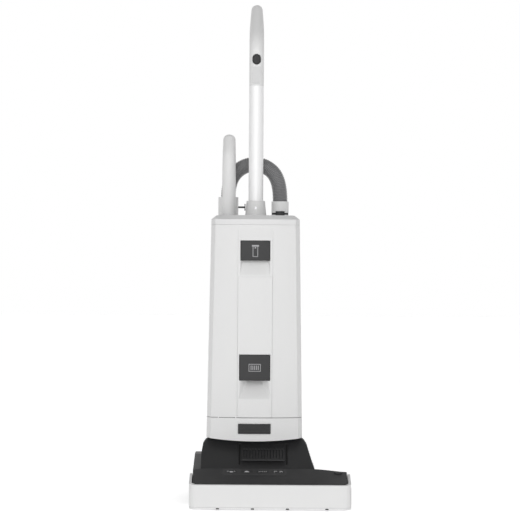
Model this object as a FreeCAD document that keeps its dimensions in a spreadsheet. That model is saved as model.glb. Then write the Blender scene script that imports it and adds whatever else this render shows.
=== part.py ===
"""Upright vacuum cleaner: a wide floor head, a tall bag housing that leans back on it, a handle
tube with a bent grip, and a hose and hand wand carried on the back. Millimetres, +Z up.
X runs across the machine, the front faces -Y, and the origin is on the floor under the middle."""

import FreeCAD
import Part
import Sketcher
import math
import os

V = FreeCAD.Vector
doc = FreeCAD.newDocument("upright_vacuum")
sheet = doc.addObject("Spreadsheet::Sheet", "dims")


class Size:
    """A number together with the sheet expression that gives it."""

    def __init__(self, value, text):
        self.value = value
        self.text = text

    def join(self, other, sign, value):
        return Size(value, "(%s %s %s)" % (self.text, sign, size(other).text))

    def __add__(self, other):
        return self.join(other, "+", self.value + size(other).value)

    def __sub__(self, other):
        return self.join(other, "-", self.value - size(other).value)

    def __mul__(self, other):
        return self.join(other, "*", self.value * size(other).value)

    def __truediv__(self, other):
        return self.join(other, "/", self.value / size(other).value)

    def __radd__(self, other):
        return size(other) + self

    def __rsub__(self, other):
        return size(other) - self

    def __rmul__(self, other):
        return size(other) * self

    def __neg__(self):
        return size(0) - self


def size(value):
    """Any number as a Size."""
    return value if isinstance(value, Size) else Size(float(value), repr(float(value)))


class Dims:
    """The driving dimensions, each one a cell of the sheet."""

    def __init__(self):
        self.row = 0

    def add(self, **cells):
        for alias, value in cells.items():
            self.row += 1
            cell = "A%d" % self.row
            sheet.set(cell, repr(float(value)))
            sheet.setAlias(cell, alias)
            setattr(self, alias, Size(float(value), "dims." + alias))


D = Dims()
# The whole machine.
D.add(front=-175, rear=175, head_half=185, body_x=-37, wall=3, gap=1.2)
# The tilt axis, shared by the motor and the two bearings.
D.add(pivot_y=70, pivot_z=88, motor_rad=54, trunnion_rad=12, shaft_rad=4)
# Floor head.
D.add(sole_low=5, floor_low=9, floor_high=13, bumper_wall=6, bumper_corner=16)
D.add(brush_y=-136, brush_z=28.5, core_rad=16, brush_rad=26, chamber_rad=28.5)
D.add(screw_y=-102)
D.add(brush_left=-155, brush_right=148, belt_x=-171, belt_wide=10)
D.add(pulley_rad=15, pinion_rad=10, belt_thick=2.2)
D.add(deck_front=-168, deck_low=60, deck_back=-108, deck_high=88)
D.add(hump_left=-161, hump_right=83, hump_high=141, hump_top_y=-26, hump_rear=10)
D.add(skirt_low=56.6, tail_y=-95, tail_z=82, slot_left=-71, slot_right=39)
D.add(flank_left=-160.5, flank_right=104, cover_left=-176, cover_right=177)
# Wheels and rollers.
D.add(wheel_y=135, wheel_rad=40, wheel_wide=17, tyre_thick=7, axle_rad=4)
D.add(arm_thick=5, arm_gap=114.5, roller_rad=9, roller_wide=20, roller_y=-84)
# Bag housing.
D.add(base_low=146, seam=200, body_top=675, low_half=113, high_half=104)
D.add(face_y=-50, bulge=13, facet=10, facet_back=18, low_rear=117, high_rear=107)
D.add(lip_y=-51, lip_z=201.5)
D.add(split_y=-10, strip_wide=81, strip_proud=2.5, strip_top=622, cover_top=530)
D.add(grip_wide=70, grip_low=568, grip_high=615, ramp_low=533, grip_deep=18)
D.add(badge_wide=73, badge_low=287, badge_high=348, badge_ramp=243, badge_deep=24)
D.add(window_low=162, window_high=186)
# Handle, hose and wand.
D.add(handle_y=53, tube_rad=17.5, tube_wall=2, socket_top=711, collar_low=987, bend_z=1070)
D.add(grip_lean=40, grip_long=97, grip_bend=60, grip_tip_rad=13.8)
D.add(bolt_z=694, gland_z=1048, hook_z=1008, low_hook_z=540, label_low=991, label_high=1033)
D.add(switch_low=1047, switch_high=1052, switch_rad=9.4)
D.add(button_wide=21, button_low=676, button_high=687)
D.add(port_x=21.5, port_y=80, port_rad=20.8, band_z=683)
D.add(wand_x=-104, wand_y=115, wand_rad=16, cuff_rad=24.4, cuff_low=655, cuff_top=722)
D.add(wand_lean=24, wand_bend=40, wand_grip_rad=15.6, hose_rad=18.2, arch_z=736)
doc.recompute()

NODES = []


def bind(thing, path, value):
    """Ties one property to the sheet."""
    value = size(value)
    thing.setExpression(path, value.text)


def place(thing, x=None, y=None, z=None, rotation=None):
    """Sets a fixed rotation and ties the position to the sheet."""
    turn = rotation or FreeCAD.Rotation()
    at = [size(0 if c is None else c) for c in (x, y, z)]
    thing.Placement = FreeCAD.Placement(V(*[c.value for c in at]), turn)
    for axis, c, given in zip("xyz", at, (x, y, z)):
        if given is not None:
            bind(thing, "Placement.Base." + axis, c)
    return thing


def node(thing, label):
    """Marks an object as one of the machine's pieces."""
    thing.Label = label
    NODES.append(thing)
    return thing


def box(x0, x1, y0, y1, z0, z1):
    """A block between six planes."""
    made = doc.addObject("Part::Box", "block")
    for prop, low, high in (("Length", x0, x1), ("Width", y0, y1), ("Height", z0, z1)):
        bind(made, prop, size(high) - low)
    return place(made, x0, y0, z0)


ALONG = {
    "x": FreeCAD.Rotation(V(0, 1, 0), 90),
    "y": FreeCAD.Rotation(V(1, 0, 0), -90),
    "z": FreeCAD.Rotation(),
}


def rod(axis, start, length, radius, x=0, y=0, z=0):
    """A cylinder that starts at start on its own axis and runs the positive way."""
    made = doc.addObject("Part::Cylinder", "rod")
    bind(made, "Radius", radius)
    bind(made, "Height", length)
    at = {"x": x, "y": y, "z": z}
    at[axis] = start
    return place(made, at["x"], at["y"], at["z"], ALONG[axis])


def fuse(*parts):
    if len(parts) == 1:
        return parts[0]
    made = doc.addObject("Part::MultiFuse", "fuse")
    made.Shapes = list(parts)
    made.Refine = True
    return made


def cut(base, *tools):
    made = doc.addObject("Part::Cut", "cut")
    made.Base = base
    made.Tool = fuse(*tools)
    made.Refine = True
    return made


def common(a, b):
    made = doc.addObject("Part::Common", "common")
    made.Base = a
    made.Tool = b
    made.Refine = True
    return made


def outline(sketch, points):
    """Draws a closed outline. A point is (x, y), or (x, y, rise) where the stretch to the next
    point is an arc that rises to the right of the way it is drawn. Every point is tied to the sheet."""
    points = [tuple(size(c) for c in p) for p in points]
    ends = []
    for i, p in enumerate(points):
        q = points[(i + 1) % len(points)]
        a, b = V(p[0].value, p[1].value, 0), V(q[0].value, q[1].value, 0)
        if len(p) == 3:
            way = (b - a).normalize()
            middle = (a + b) * 0.5 + V(way.y, -way.x, 0) * p[2].value
            at = sketch.addGeometry(Part.Arc(a, middle, b))
            forward = sketch.getPoint(at, 1).distanceToPoint(a) < 1e-6
            ends.append((at, 1, 2) if forward else (at, 2, 1))
            chord = (q[0] - p[0]) * (q[0] - p[0]) + (q[1] - p[1]) * (q[1] - p[1])
            radius = (chord / 4 + p[2] * p[2]) / (2 * p[2])
            sign = 1 if radius.value > 0 else -1
            tie = sketch.addConstraint(
                Sketcher.Constraint("Radius", at, radius.value * sign)
            )
            bind(sketch, "Constraints[%d]" % tie, radius * sign)
        else:
            at = sketch.addGeometry(Part.LineSegment(a, b))
            ends.append((at, 1, 2))
    for i, (at, _, end) in enumerate(ends):
        following = ends[(i + 1) % len(ends)]
        sketch.addConstraint(
            Sketcher.Constraint("Coincident", at, end, following[0], following[1])
        )
    for (at, start, _), p in zip(ends, points):
        for kind, c in (("DistanceX", p[0]), ("DistanceY", p[1])):
            tie = sketch.addConstraint(
                Sketcher.Constraint(kind, -1, 1, at, start, c.value)
            )
            bind(sketch, "Constraints[%d]" % tie, c)


def new_body(name="body"):
    return doc.addObject("PartDesign::Body", name)


def draw(body, plane, points, offset=0):
    """A sketch on one of the body's origin planes, moved along the plane's normal."""
    sketch = body.newObject("Sketcher::SketchObject", "sketch")
    role = plane + "_Plane"
    found = [f for f in body.Origin.OriginFeatures if f.Role == role][0]
    sketch.AttachmentSupport = (found, [""])
    sketch.MapMode = "FlatFace"
    sketch.AttachmentOffset = FreeCAD.Placement(V(0, 0, size(offset).value), FreeCAD.Rotation())
    bind(sketch, "AttachmentOffset.Base.z", offset)
    outline(sketch, points)
    return sketch


def profile(plane, points, start, end):
    """A body: an outline on a plane, padded from start to end along +X, +Y or +Z.
    An XZ sketch faces -Y, so its offsets are counted backwards."""
    body = new_body()
    start, end = size(start), size(end)
    offset = -end if plane == "XZ" else start
    sketch = draw(body, plane, points, offset)
    pad = body.newObject("PartDesign::Pad", "pad")
    pad.Profile = sketch
    bind(pad, "Length", end - start)
    return body


def loft(plane, low, low_at, high, high_at):
    """A body lofted between two outlines on parallel planes."""
    body = new_body()
    flip = -1 if plane == "XZ" else 1
    first = draw(body, plane, low, size(low_at) * flip)
    second = draw(body, plane, high, size(high_at) * flip)
    made = body.newObject("PartDesign::AdditiveLoft", "loft")
    made.Profile = first
    made.Sections = [second]
    made.Ruled = True
    return body


def rect(x0, x1, y0, y1):
    return [(x0, y0), (x1, y0), (x1, y1), (x0, y1)]


def rounded(x0, x1, y0, y1, r):
    """A rectangle with round corners, drawn anticlockwise."""
    rise = size(r) * (1 - math.sqrt(0.5))
    x0, x1, y0, y1, r = (size(c) for c in (x0, x1, y0, y1, r))
    return [
        (x0 + r, y0), (x1 - r, y0, rise), (x1, y0 + r), (x1, y1 - r, rise),
        (x1 - r, y1), (x0 + r, y1, rise), (x0, y1 - r), (x0, y0 + r, rise),
    ]


def solid(label, shape):
    """A piece whose shape is set outright."""
    made = doc.addObject("Part::Feature", "solid")
    made.Shape = shape
    return node(made, label)


# Positions worked out once and shared by several pieces.

def half_at(z):
    """Half the housing's width at a height."""
    rise = (size(z) - D.base_low) / (D.body_top - D.base_low)
    return D.low_half + (D.high_half - D.low_half) * rise


def rear_at(z):
    """The housing's rear face at a height."""
    rise = (size(z) - D.base_low) / (D.body_top - D.base_low)
    return D.low_rear + (D.high_rear - D.low_rear) * rise


def plan(z, inset=0, back=None, start=None):
    """The housing seen from above at a height: a slightly bowed front with cut corners and a
    straight back, from start to back along Y, set in by inset."""
    half, rear = half_at(z) - inset, rear_at(z) - inset
    rear = rear if back is None else size(back)
    face = D.face_y + inset
    left, right = D.body_x - half, D.body_x + half
    shoulder = face + D.bulge
    corner = shoulder + D.facet_back
    if start is not None:
        return [(left, start), (right, start), (right, rear), (left, rear)]
    return [
        (left + D.facet, shoulder, D.bulge), (right - D.facet, shoulder), (right, corner),
        (right, rear), (left, rear), (left, corner),
    ]


def housing(low, high, inset=0, back=None, start=None):
    """A stretch of the tapered housing as one solid block."""
    return loft(
        "XY", plan(low, inset, back, start), low, plan(high, inset, back, start), high
    )


def deck_at(y, lift=0):
    """A point on the sloping deck, in (Y, Z)."""
    slope = (D.deck_high - D.deck_low) / (D.deck_back - D.deck_front)
    return (size(y), D.deck_low + (size(y) - D.deck_front) * slope + lift)


def hump_at(y, lift=0):
    """A point on the hump's front slope, in (Y, Z)."""
    slope = (D.hump_high - D.deck_high) / (D.hump_top_y - D.deck_back)
    return (size(y), D.deck_high + (size(y) - D.deck_back) * slope + lift)


def around(points, x0, x1):
    """A (Y, Z) outline padded across the machine."""
    return profile("YZ", points, x0, x1)


def disc(y, z, x0, x1, radius):
    """A cylinder along X."""
    return rod("x", x0, size(x1) - size(x0), radius, y=y, z=z)


def washer(y, z, x0, x1, outer, inner):
    """A tube along X."""
    return cut(disc(y, z, x0, x1, outer), disc(y, z, x0 - D.wall, x1 + D.wall, inner))


def pipe(x, y, z0, z1, outer, inner):
    """An upright tube."""
    solid_rod = rod("z", z0, size(z1) - size(z0), outer, x=x, y=y)
    bore = rod("z", size(z0) - D.wall, size(z1) - size(z0) + D.wall * 2, inner, x=x, y=y)
    return cut(solid_rod, bore)


arm_left = D.body_x - D.arm_gap
arm_right = D.body_x + D.arm_gap
rollers_x = (D.body_x - 70, D.body_x + 70)
SCREWS_X = (-172, -60, 70, 168)
strip_left = D.body_x - D.strip_wide / 2
strip_right = D.body_x + D.strip_wide / 2


# The floor head.

def head_chassis():
    inner, outer = D.chamber_rad, D.chamber_rad + D.wall
    bow = 1 - math.sqrt(0.5)
    arch = around(
        [
            (D.brush_y - outer, D.floor_low), (D.brush_y - inner, D.floor_low),
            (D.brush_y - inner, D.brush_z, inner * -bow),
            (D.brush_y, D.brush_z + inner, inner * -bow), (D.brush_y + inner, D.brush_z),
            (D.brush_y + inner, D.floor_low), (D.brush_y + outer, D.floor_low),
            (D.brush_y + outer, D.brush_z, outer * bow),
            (D.brush_y, D.brush_z + outer, outer * bow), (D.brush_y - outer, D.brush_z),
        ],
        D.brush_left - 5, D.brush_right + 5,
    )
    end_wall = box(
        D.brush_left - 5, D.brush_left - 2, D.brush_y - D.chamber_rad - 1,
        D.brush_y + D.chamber_rad + 1, D.floor_low, D.brush_z + D.chamber_rad * 0.8,
    )
    tray = box(D.brush_left - 5, D.flank_right, D.brush_y + D.chamber_rad, 22, D.floor_low,
               D.floor_high)
    arms = []
    for x in (arm_left - D.arm_thick, arm_right):
        arms.append(around(
            [
                (D.brush_y + D.chamber_rad + 1, D.floor_low), (30, D.floor_low),
                (D.wheel_y - 6, D.wheel_rad - 16), (D.wheel_y + 12, D.wheel_rad - 8),
                (D.wheel_y + 12, D.wheel_rad + 10), (D.pivot_y + 24, D.pivot_z + 8),
                (D.pivot_y + 12, D.pivot_z + 22), (D.pivot_y - 14, D.pivot_z + 22),
                (D.pivot_y - 60, D.pivot_z - 8), (D.brush_y + D.chamber_rad + 1, 48),
            ],
            x, x + D.arm_thick,
        ))
    lugs = []
    for x in rollers_x:
        for side in (-18, 12):
            lugs.append(box(x + side, x + side + 6, D.roller_y - 7, D.roller_y + 7, 4.5, 16))
    posts = [
        box(x - 4, x + 4, D.deck_back + 16, D.deck_back + 24, D.floor_low, 47)
        for x in (-56, 10, 66)
    ]
    solid_part = fuse(arch, end_wall, tray, *arms, *lugs, *posts)
    holes = [
        disc(D.pivot_y, D.pivot_z, arm_left - 20, arm_right + 20, D.trunnion_rad + 3),
        disc(D.wheel_y, D.wheel_rad, arm_left - 20, arm_right + 20, D.axle_rad),
        disc(D.brush_y, D.brush_z, D.brush_left - 8, D.brush_left, 9),
        disc(D.roller_y, D.roller_rad, rollers_x[0] - 20, rollers_x[1] + 20, 2.56),
        box(-137, -73, D.brush_y + D.chamber_rad - 6, D.brush_y + D.chamber_rad + 6, 22, 42),
    ]
    for x in rollers_x:
        holes.append(box(x - 12, x + 12, D.roller_y - 12, D.roller_y + 12, 0, 30))
    return node(cut(solid_part, *holes), "head_chassis")


def soleplate():
    plate = box(D.brush_left - 18, D.brush_right + 22, D.deck_front + 4, -62, D.sole_low,
                D.floor_low)
    holes = [
        box(D.brush_left + 1, D.brush_right - 2, D.brush_y - 22, D.brush_y + 22, 0, 20),
    ]
    for x in rollers_x:
        holes.append(box(x - 19, x + 19, D.roller_y - 13, D.roller_y + 13, 0, 20))
    holes.append(box(rollers_x[0], rollers_x[1], D.roller_y - 4, D.roller_y + 4, 0, 20))
    for x in SCREWS_X:
        holes.append(rod("z", 0, 20, 2.5, x=x, y=D.screw_y))
    return node(cut(plate, *holes), "soleplate")


def sole_screws():
    screws = []
    for x in SCREWS_X:
        screws.append(fuse(
            rod("z", D.sole_low - 1.5, 1.5, 4.5, x=x, y=D.screw_y),
            rod("z", D.sole_low - 0.5, 4.5, 2.4, x=x, y=D.screw_y),
        ))
    return node(fuse(*screws), "sole_screws")


def bumper():
    half, wall = D.head_half, D.bumper_wall
    back = -70
    ring_plan = [
        (-half, back), (-half, D.front + D.bumper_corner, D.bumper_corner * 0.29),
        (-half + D.bumper_corner, D.front), (half - D.bumper_corner, D.front,
                                             D.bumper_corner * 0.29),
        (half, D.front + D.bumper_corner), (half, back), (half - wall, back),
        (half - wall, D.front + D.bumper_corner), (half - D.bumper_corner, D.front + wall),
        (-half + D.bumper_corner, D.front + wall), (-half + wall, D.front + D.bumper_corner),
        (-half + wall, back),
    ]
    band = profile("XY", ring_plan, 3, 90)
    side = around(
        [
            (D.front - 1, 3), (back + 1, 3), (back + 1, 60), (-100, 76), (D.deck_front, 59),
            (D.front - 1, 58),
        ],
        -half - 1, half + 1,
    )
    shaped = common(band, side)
    window = box(half - wall - 4, half + 4, -163, -109, 8, 56)
    return node(cut(shaped, window), "bumper")


def head_cover():
    left, right = D.cover_left, D.cover_right
    low = D.skirt_low
    deck = around(
        [
            (D.deck_front, low), deck_at(D.deck_front), deck_at(D.deck_back),
            (D.tail_y, D.tail_z), (D.tail_y, low),
        ],
        left, right,
    )
    deck_room = around(
        [
            (D.deck_front + D.wall, low - 1), deck_at(D.deck_front + D.wall, -D.wall),
            deck_at(D.deck_back, -D.wall), (D.tail_y - D.wall, D.tail_z - D.wall),
            (D.tail_y - D.wall, low - 1),
        ],
        left + D.wall, right - D.wall,
    )
    corner = 10
    deck_plan = profile(
        "XY",
        [
            (left, -90), (left, D.deck_front + corner), (left + corner, D.deck_front),
            (right - corner, D.deck_front), (right, D.deck_front + corner), (right, -90),
        ],
        low, 100,
    )
    flank = loft(
        "XY", rect(D.flank_left, D.flank_right, -110, D.hump_rear), 74,
        rect(D.hump_left, D.hump_right, D.hump_top_y, D.hump_rear), D.hump_high,
    )
    room = loft(
        "XY", rect(D.flank_left + 3, D.flank_right - 3, -107, D.hump_rear + 1), 73,
        rect(D.hump_left + 3, D.hump_right - 3, D.hump_top_y + 3, D.hump_rear + 1),
        D.hump_high - 3,
    )
    rear_wall = box(D.hump_left + 4, D.hump_right - 4, D.hump_rear - 3, D.hump_rear, 98,
                    D.hump_high - 2)
    shell = fuse(cut(fuse(common(deck, deck_plan), flank), deck_room, room), rear_wall)
    holes = [
        around(
            [
                deck_at(D.deck_back - 25.3, -1.3), deck_at(D.deck_back - 1.7, -1.3),
                deck_at(D.deck_back - 1.7, 4), deck_at(D.deck_back - 25.3, 4),
            ],
            -109.3, 38.3,
        ),
        box(145.6, 167.4, -122, -110, 50, 90),
        box(-177, -161, -100, -90, 50, 70),
    ]
    for x in (D.slot_left, D.slot_right):
        holes.append(box(x - 2, x + 2, -84, -30, 105, 150))
    return node(cut(shell, *holes), "head_cover")


def cover_grille():
    y0, y1 = -84, -46
    panel = around(
        [hump_at(y0, 0.3), hump_at(y0, 2.3), hump_at(y1, 2.3), hump_at(y1, 0.3)], -66, 34,
    )
    slots = []
    for i in range(14):
        x = -62 + i * 6.9
        slots.append(box(x, x + 2.4, y0 + 4, y1 - 4, 90, 150))
    return node(cut(panel, *slots), "cover_grille")


def indicator_panel():
    y0, y1 = D.deck_back - 25, D.deck_back - 2
    panel = around(
        [deck_at(y0, -1), deck_at(y1, -1), deck_at(y1, 0.8), deck_at(y0, 0.8)], -109, 38,
    )
    windows = []
    for i in range(4):
        x = -104 + i * 36.5
        windows.append(around(
            [deck_at(y0 + 6, 0.1), deck_at(y1 - 6, 0.1), deck_at(y1 - 6, 4), deck_at(y0 + 6, 4)],
            x, x + 28,
        ))
    return node(cut(panel, *windows), "indicator_panel")


def indicator_lenses():
    y0, y1 = D.deck_back - 18.6, D.deck_back - 8.4
    lenses = []
    for i in range(4):
        x = -103.7 + i * 36.5
        lenses.append(around(
            [deck_at(y0, 0.1), deck_at(y1, 0.1), deck_at(y1, 1.1), deck_at(y0, 1.1)],
            x, x + 27.4,
        ))
    return node(fuse(*lenses), "indicator_lenses")


def indicator_board():
    y0, y1 = D.deck_back - 26, D.deck_back - 5
    board = around(
        [deck_at(y0, -7), deck_at(y1, -7), deck_at(y1, -5.4), deck_at(y0, -5.4)], -104, 33,
    )
    return node(board, "indicator_board")


def brush_roller():
    core = disc(D.brush_y, D.brush_z, D.brush_left, D.brush_right, D.core_rad)
    stub = disc(D.brush_y, D.brush_z, D.belt_x - D.belt_wide / 2, D.brush_right + 14, 4)
    pulley = disc(D.brush_y, D.brush_z, D.belt_x - D.belt_wide / 2 - 1,
                  D.belt_x + D.belt_wide / 2 + 1, D.pulley_rad)
    return node(fuse(core, stub, pulley), "brush_roller")


def brush_bristles():
    rows = []
    for i in range(4):
        angle = i * 90 + 45
        row = doc.addObject("Part::Box", "row")
        bind(row, "Length", D.brush_right - D.brush_left - 8)
        bind(row, "Width", 5)
        bind(row, "Height", D.brush_rad - D.core_rad)
        turn = FreeCAD.Rotation(V(1, 0, 0), angle)
        shift = turn.multVec(V(0, -2.5, D.core_rad.value))
        row.Placement = FreeCAD.Placement(V(0, 0, 0), turn)
        bind(row, "Placement.Base.x", D.brush_left + 4)
        bind(row, "Placement.Base.y", D.brush_y + shift.y)
        bind(row, "Placement.Base.z", D.brush_z + shift.z)
        rows.append(row)
    core = disc(D.brush_y, D.brush_z, D.brush_left, D.brush_right, D.core_rad)
    return node(cut(fuse(*rows), core), "brush_bristles")


def brush_bearings():
    left = washer(D.brush_y, D.brush_z, D.brush_left - 5, D.brush_left - 1, 9, 4)
    right = washer(D.brush_y, D.brush_z, D.brush_right + 5, D.brush_right + 12, 9, 4)
    return node(fuse(left, right), "brush_bearings")


def brush_cover():
    block = box(D.brush_right + 5, D.head_half, -162.4, -109.6, 9.2, 55.4)
    trim = around(
        [(-170, 50), (-150, 50), (-150, 60), (-170, 60)], D.brush_right, D.head_half + 1,
    )
    pocket = disc(D.brush_y, D.brush_z, D.brush_right, D.brush_right + 12, 9)
    room = disc(D.brush_y, D.brush_z, D.brush_right + 11, D.brush_right + 24, 8)
    grip = box(D.head_half - 8, D.head_half + 2, -150, -122, 9, 14)
    return node(cut(block, trim, pocket, room, grip), "brush_cover")


def brush_button():
    y0, y1 = -121.5, -110.5
    pad = around(
        [deck_at(y0, -9), deck_at(y1, -9), deck_at(y1, 1.8), deck_at(y0, 1.8)], 146, 167,
    )
    return node(pad, "brush_button")


def motor_pinion():
    wheel = washer(D.pivot_y, D.pivot_z, D.belt_x - D.belt_wide / 2 - 1,
                   D.belt_x + D.belt_wide / 2 + 1, D.pinion_rad, D.shaft_rad)
    return node(wheel, "motor_pinion")


def belt_points(extra):
    """The two straight runs of the belt and its two arcs, at a distance outside the wheels."""
    big, small = D.pulley_rad + extra, D.pinion_rad + extra
    dy = (D.pivot_y - D.brush_y).value
    dz = (D.pivot_z - D.brush_z).value
    span = math.hypot(dy, dz)
    lean = math.atan2(dz, dy)
    slack = math.asin((big.value - small.value) / span)
    points = []
    for side in (1, -1):
        angle = lean + side * (math.pi / 2 - slack)
        c, s = math.cos(angle), math.sin(angle)
        points.append(((D.brush_y + big * c, D.brush_z + big * s),
                       (D.pivot_y + small * c, D.pivot_z + small * s)))
    top, bottom = points
    deep = big * (1 + math.sin(slack))
    shallow = small * (1 - math.sin(slack))
    return [bottom[0], bottom[1] + (shallow,), top[1], top[0] + (deep,)]


def drive_belt():
    x0, x1 = D.belt_x - D.belt_wide / 2, D.belt_x + D.belt_wide / 2
    outer = around(belt_points(D.belt_thick + 0.1), x0, x1)
    inner = around(belt_points(size(0.1)), x0 - 1, x1 + 1)
    return node(cut(outer, inner), "drive_belt")


def belt_cover():
    def side(inset):
        inset = size(inset)
        return [
            (-94.4 + inset, 15 + inset), (10, 15 + inset),
            (D.pivot_y + 19 - inset, D.pivot_z - 20), (D.pivot_y + 19 - inset, D.pivot_z + 8),
            (D.pivot_y + 9, D.pivot_z + 19 - inset), (D.pivot_y - 42, D.pivot_z + 19 - inset),
            (-94.4 + inset, 82 - inset),
        ]

    outer = around(side(0), -178.5, -161.1)
    room = around(side(2.5), -177.3, -164)
    mouth = box(-177.3, -164, -100, -90, 18, 72)
    shaft = disc(D.pivot_y, D.pivot_z, -165, -160, D.trunnion_rad + 2)
    return node(cut(outer, room, mouth, shaft), "belt_cover")


def wheels():
    for name, x0 in (("left", arm_left - D.arm_thick - 1.5 - D.wheel_wide),
                     ("right", arm_right + D.arm_thick + 1.5)):
        x1 = x0 + D.wheel_wide
        rim = D.wheel_rad - D.tyre_thick
        hub = washer(D.wheel_y, D.wheel_rad, x0, x1, rim, D.axle_rad + 0.05)
        dish = washer(D.wheel_y, D.wheel_rad, x0 - 1, x0 + 5, rim - 6, 12)
        far_dish = washer(D.wheel_y, D.wheel_rad, x1 - 5, x1 + 1, rim - 6, 12)
        node(cut(hub, dish, far_dish), "wheel_hub_" + name)
        tyre = washer(D.wheel_y, D.wheel_rad, x0 + 0.5, x1 - 0.5, D.wheel_rad, rim)
        node(tyre, "wheel_tyre_" + name)


def axle_pins():
    out = D.wheel_wide + 4
    pins = [disc(D.pivot_y + 28, 99, -176.5, arm_left - D.arm_thick, 3)]
    for x0, x1, head in (
        (arm_left - D.arm_thick - out, arm_left, arm_left - D.arm_thick - out),
        (arm_right, arm_right + D.arm_thick + out, arm_right + D.arm_thick + out - 2),
    ):
        pins.append(fuse(
            disc(D.wheel_y, D.wheel_rad, x0, x1, D.axle_rad),
            disc(D.wheel_y, D.wheel_rad, head, head + 2, D.axle_rad + 3),
        ))
    return node(fuse(*pins), "axle_pins")


def front_rollers():
    rollers = [
        disc(D.roller_y, D.roller_rad, x - D.roller_wide / 2, x + D.roller_wide / 2,
             D.roller_rad)
        for x in rollers_x
    ]
    shaft = disc(D.roller_y, D.roller_rad, rollers_x[0] - 17, rollers_x[1] + 17, 2.5)
    return node(fuse(shaft, *rollers), "front_rollers")


def suction_duct():
    outer = loft(
        "XZ", rect(-140, -70, 19, 45), D.brush_y + D.chamber_rad + D.wall + 0.1,
        rect(-140, -70, 58, 88), D.pivot_y - 31,
    )
    inner = loft(
        "XZ", rect(-137, -73, 22, 42), D.brush_y + D.chamber_rad + D.wall - 1,
        rect(-137, -73, 61, 85), D.pivot_y - 20,
    )
    saddle = disc(D.pivot_y, D.pivot_z, -140, -70, 36)
    below = around(
        [
            (D.pivot_y, D.pivot_z), (D.pivot_y - 60, D.pivot_z + 71), (-20, D.pivot_z + 71),
            (-20, 20), (D.pivot_y + 34, 20), (D.pivot_y + 34, D.pivot_z - 34),
        ],
        -141, -69,
    )
    hollow = disc(D.pivot_y, D.pivot_z, -142, -68, 32.6)
    return node(cut(fuse(outer, common(saddle, below)), inner, hollow), "suction_duct")


def swivel_duct():
    drum = disc(D.pivot_y, D.pivot_z, -139, -71, 32)
    riser = loft(
        "XY", rect(-124, -84, D.pivot_y - 14, D.pivot_y + 20), D.pivot_z + 22,
        rounded(D.wand_x - 20, D.wand_x + 20, D.wand_y - 20, D.wand_y + 20, 19), 172,
    )
    riser_room = loft(
        "XY", rect(-121, -87, D.pivot_y - 11, D.pivot_y + 17), D.pivot_z + 20,
        rounded(D.wand_x - 15, D.wand_x + 15, D.wand_y - 15, D.wand_y + 15, 14), 172.5,
    )
    socket = rod("z", 172, 32, 20, x=D.wand_x, y=D.wand_y)
    bore = rod("z", 182, 30, D.wand_rad + 0.3, x=D.wand_x, y=D.wand_y)
    throat = rod("z", 170, 20, 14, x=D.wand_x, y=D.wand_y)
    room = disc(D.pivot_y, D.pivot_z, -136.5, -73.5, 29.5)
    tunnel = disc(D.pivot_y, D.pivot_z, -142, -68, D.trunnion_rad + 0.2)
    mouth = around(
        [
            (D.pivot_y, D.pivot_z), (D.pivot_y - 40, D.pivot_z - 18), (D.pivot_y - 40, 40),
            (D.pivot_y + 26, 40), (D.pivot_y + 26, D.pivot_z - 30),
        ],
        -136, -74,
    )
    return node(
        cut(fuse(drum, riser, socket), room, riser_room, bore, throat, tunnel, mouth),
        "swivel_duct",
    )


def tilt_bushes():
    sleeves = []
    for x in (arm_left - D.arm_thick, arm_right):
        sleeves.append(washer(D.pivot_y, D.pivot_z, x, x + D.arm_thick, D.trunnion_rad + 3,
                              D.trunnion_rad + 0.05))
    return node(fuse(*sleeves), "tilt_bushes")


def foot_pedal():
    plate = around(
        [
            (D.pivot_y + 22, 100), (D.pivot_y + 26, 95), (D.wheel_y - 12, 92), (D.rear - 8, 92),
            (D.rear - 8, 96), (D.wheel_y - 12, 97), (D.pivot_y + 28, 104),
        ],
        -175, -158,
    )
    hub = disc(D.pivot_y + 28, 99, -175, -158, 6)
    bore = disc(D.pivot_y + 28, 99, -180, -155, 3.05)
    return node(cut(fuse(plate, hub), bore), "foot_pedal")


# The motor, carried between the housing's two cheeks on the tilt axis.

def motor_housing():
    barrel = washer(D.pivot_y, D.pivot_z, -62, 70, D.motor_rad, D.motor_rad - D.wall)
    left_wall = disc(D.pivot_y, D.pivot_z, -62, -58, D.motor_rad)
    right_wall = disc(D.pivot_y, D.pivot_z, 66, 70, D.motor_rad)
    left_trunnion = disc(D.pivot_y, D.pivot_z, arm_left - D.arm_thick - 1, -58, D.trunnion_rad)
    right_trunnion = disc(D.pivot_y, D.pivot_z, 66, arm_right + D.arm_thick + 1, D.trunnion_rad)
    saddle = box(-56, 64, D.pivot_y - 30, D.pivot_y + 30, D.pivot_z + 40, 152)
    inner = disc(D.pivot_y, D.pivot_z, -58, 46, D.motor_rad - D.wall)
    end_room = disc(D.pivot_y, D.pivot_z, 49, 66, D.motor_rad - D.wall)
    bearing_seat = disc(D.pivot_y, D.pivot_z, 40, 60, 14)
    tunnel = disc(D.pivot_y, D.pivot_z, arm_left - 20, 60, D.shaft_rad + 2)
    intake = rod("z", D.pivot_z + 20, 80, 22, x=30, y=D.pivot_y)
    whole = fuse(barrel, left_wall, right_wall, left_trunnion, right_trunnion, saddle)
    return node(cut(whole, inner, end_room, bearing_seat, tunnel, intake), "motor_housing")


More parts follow.
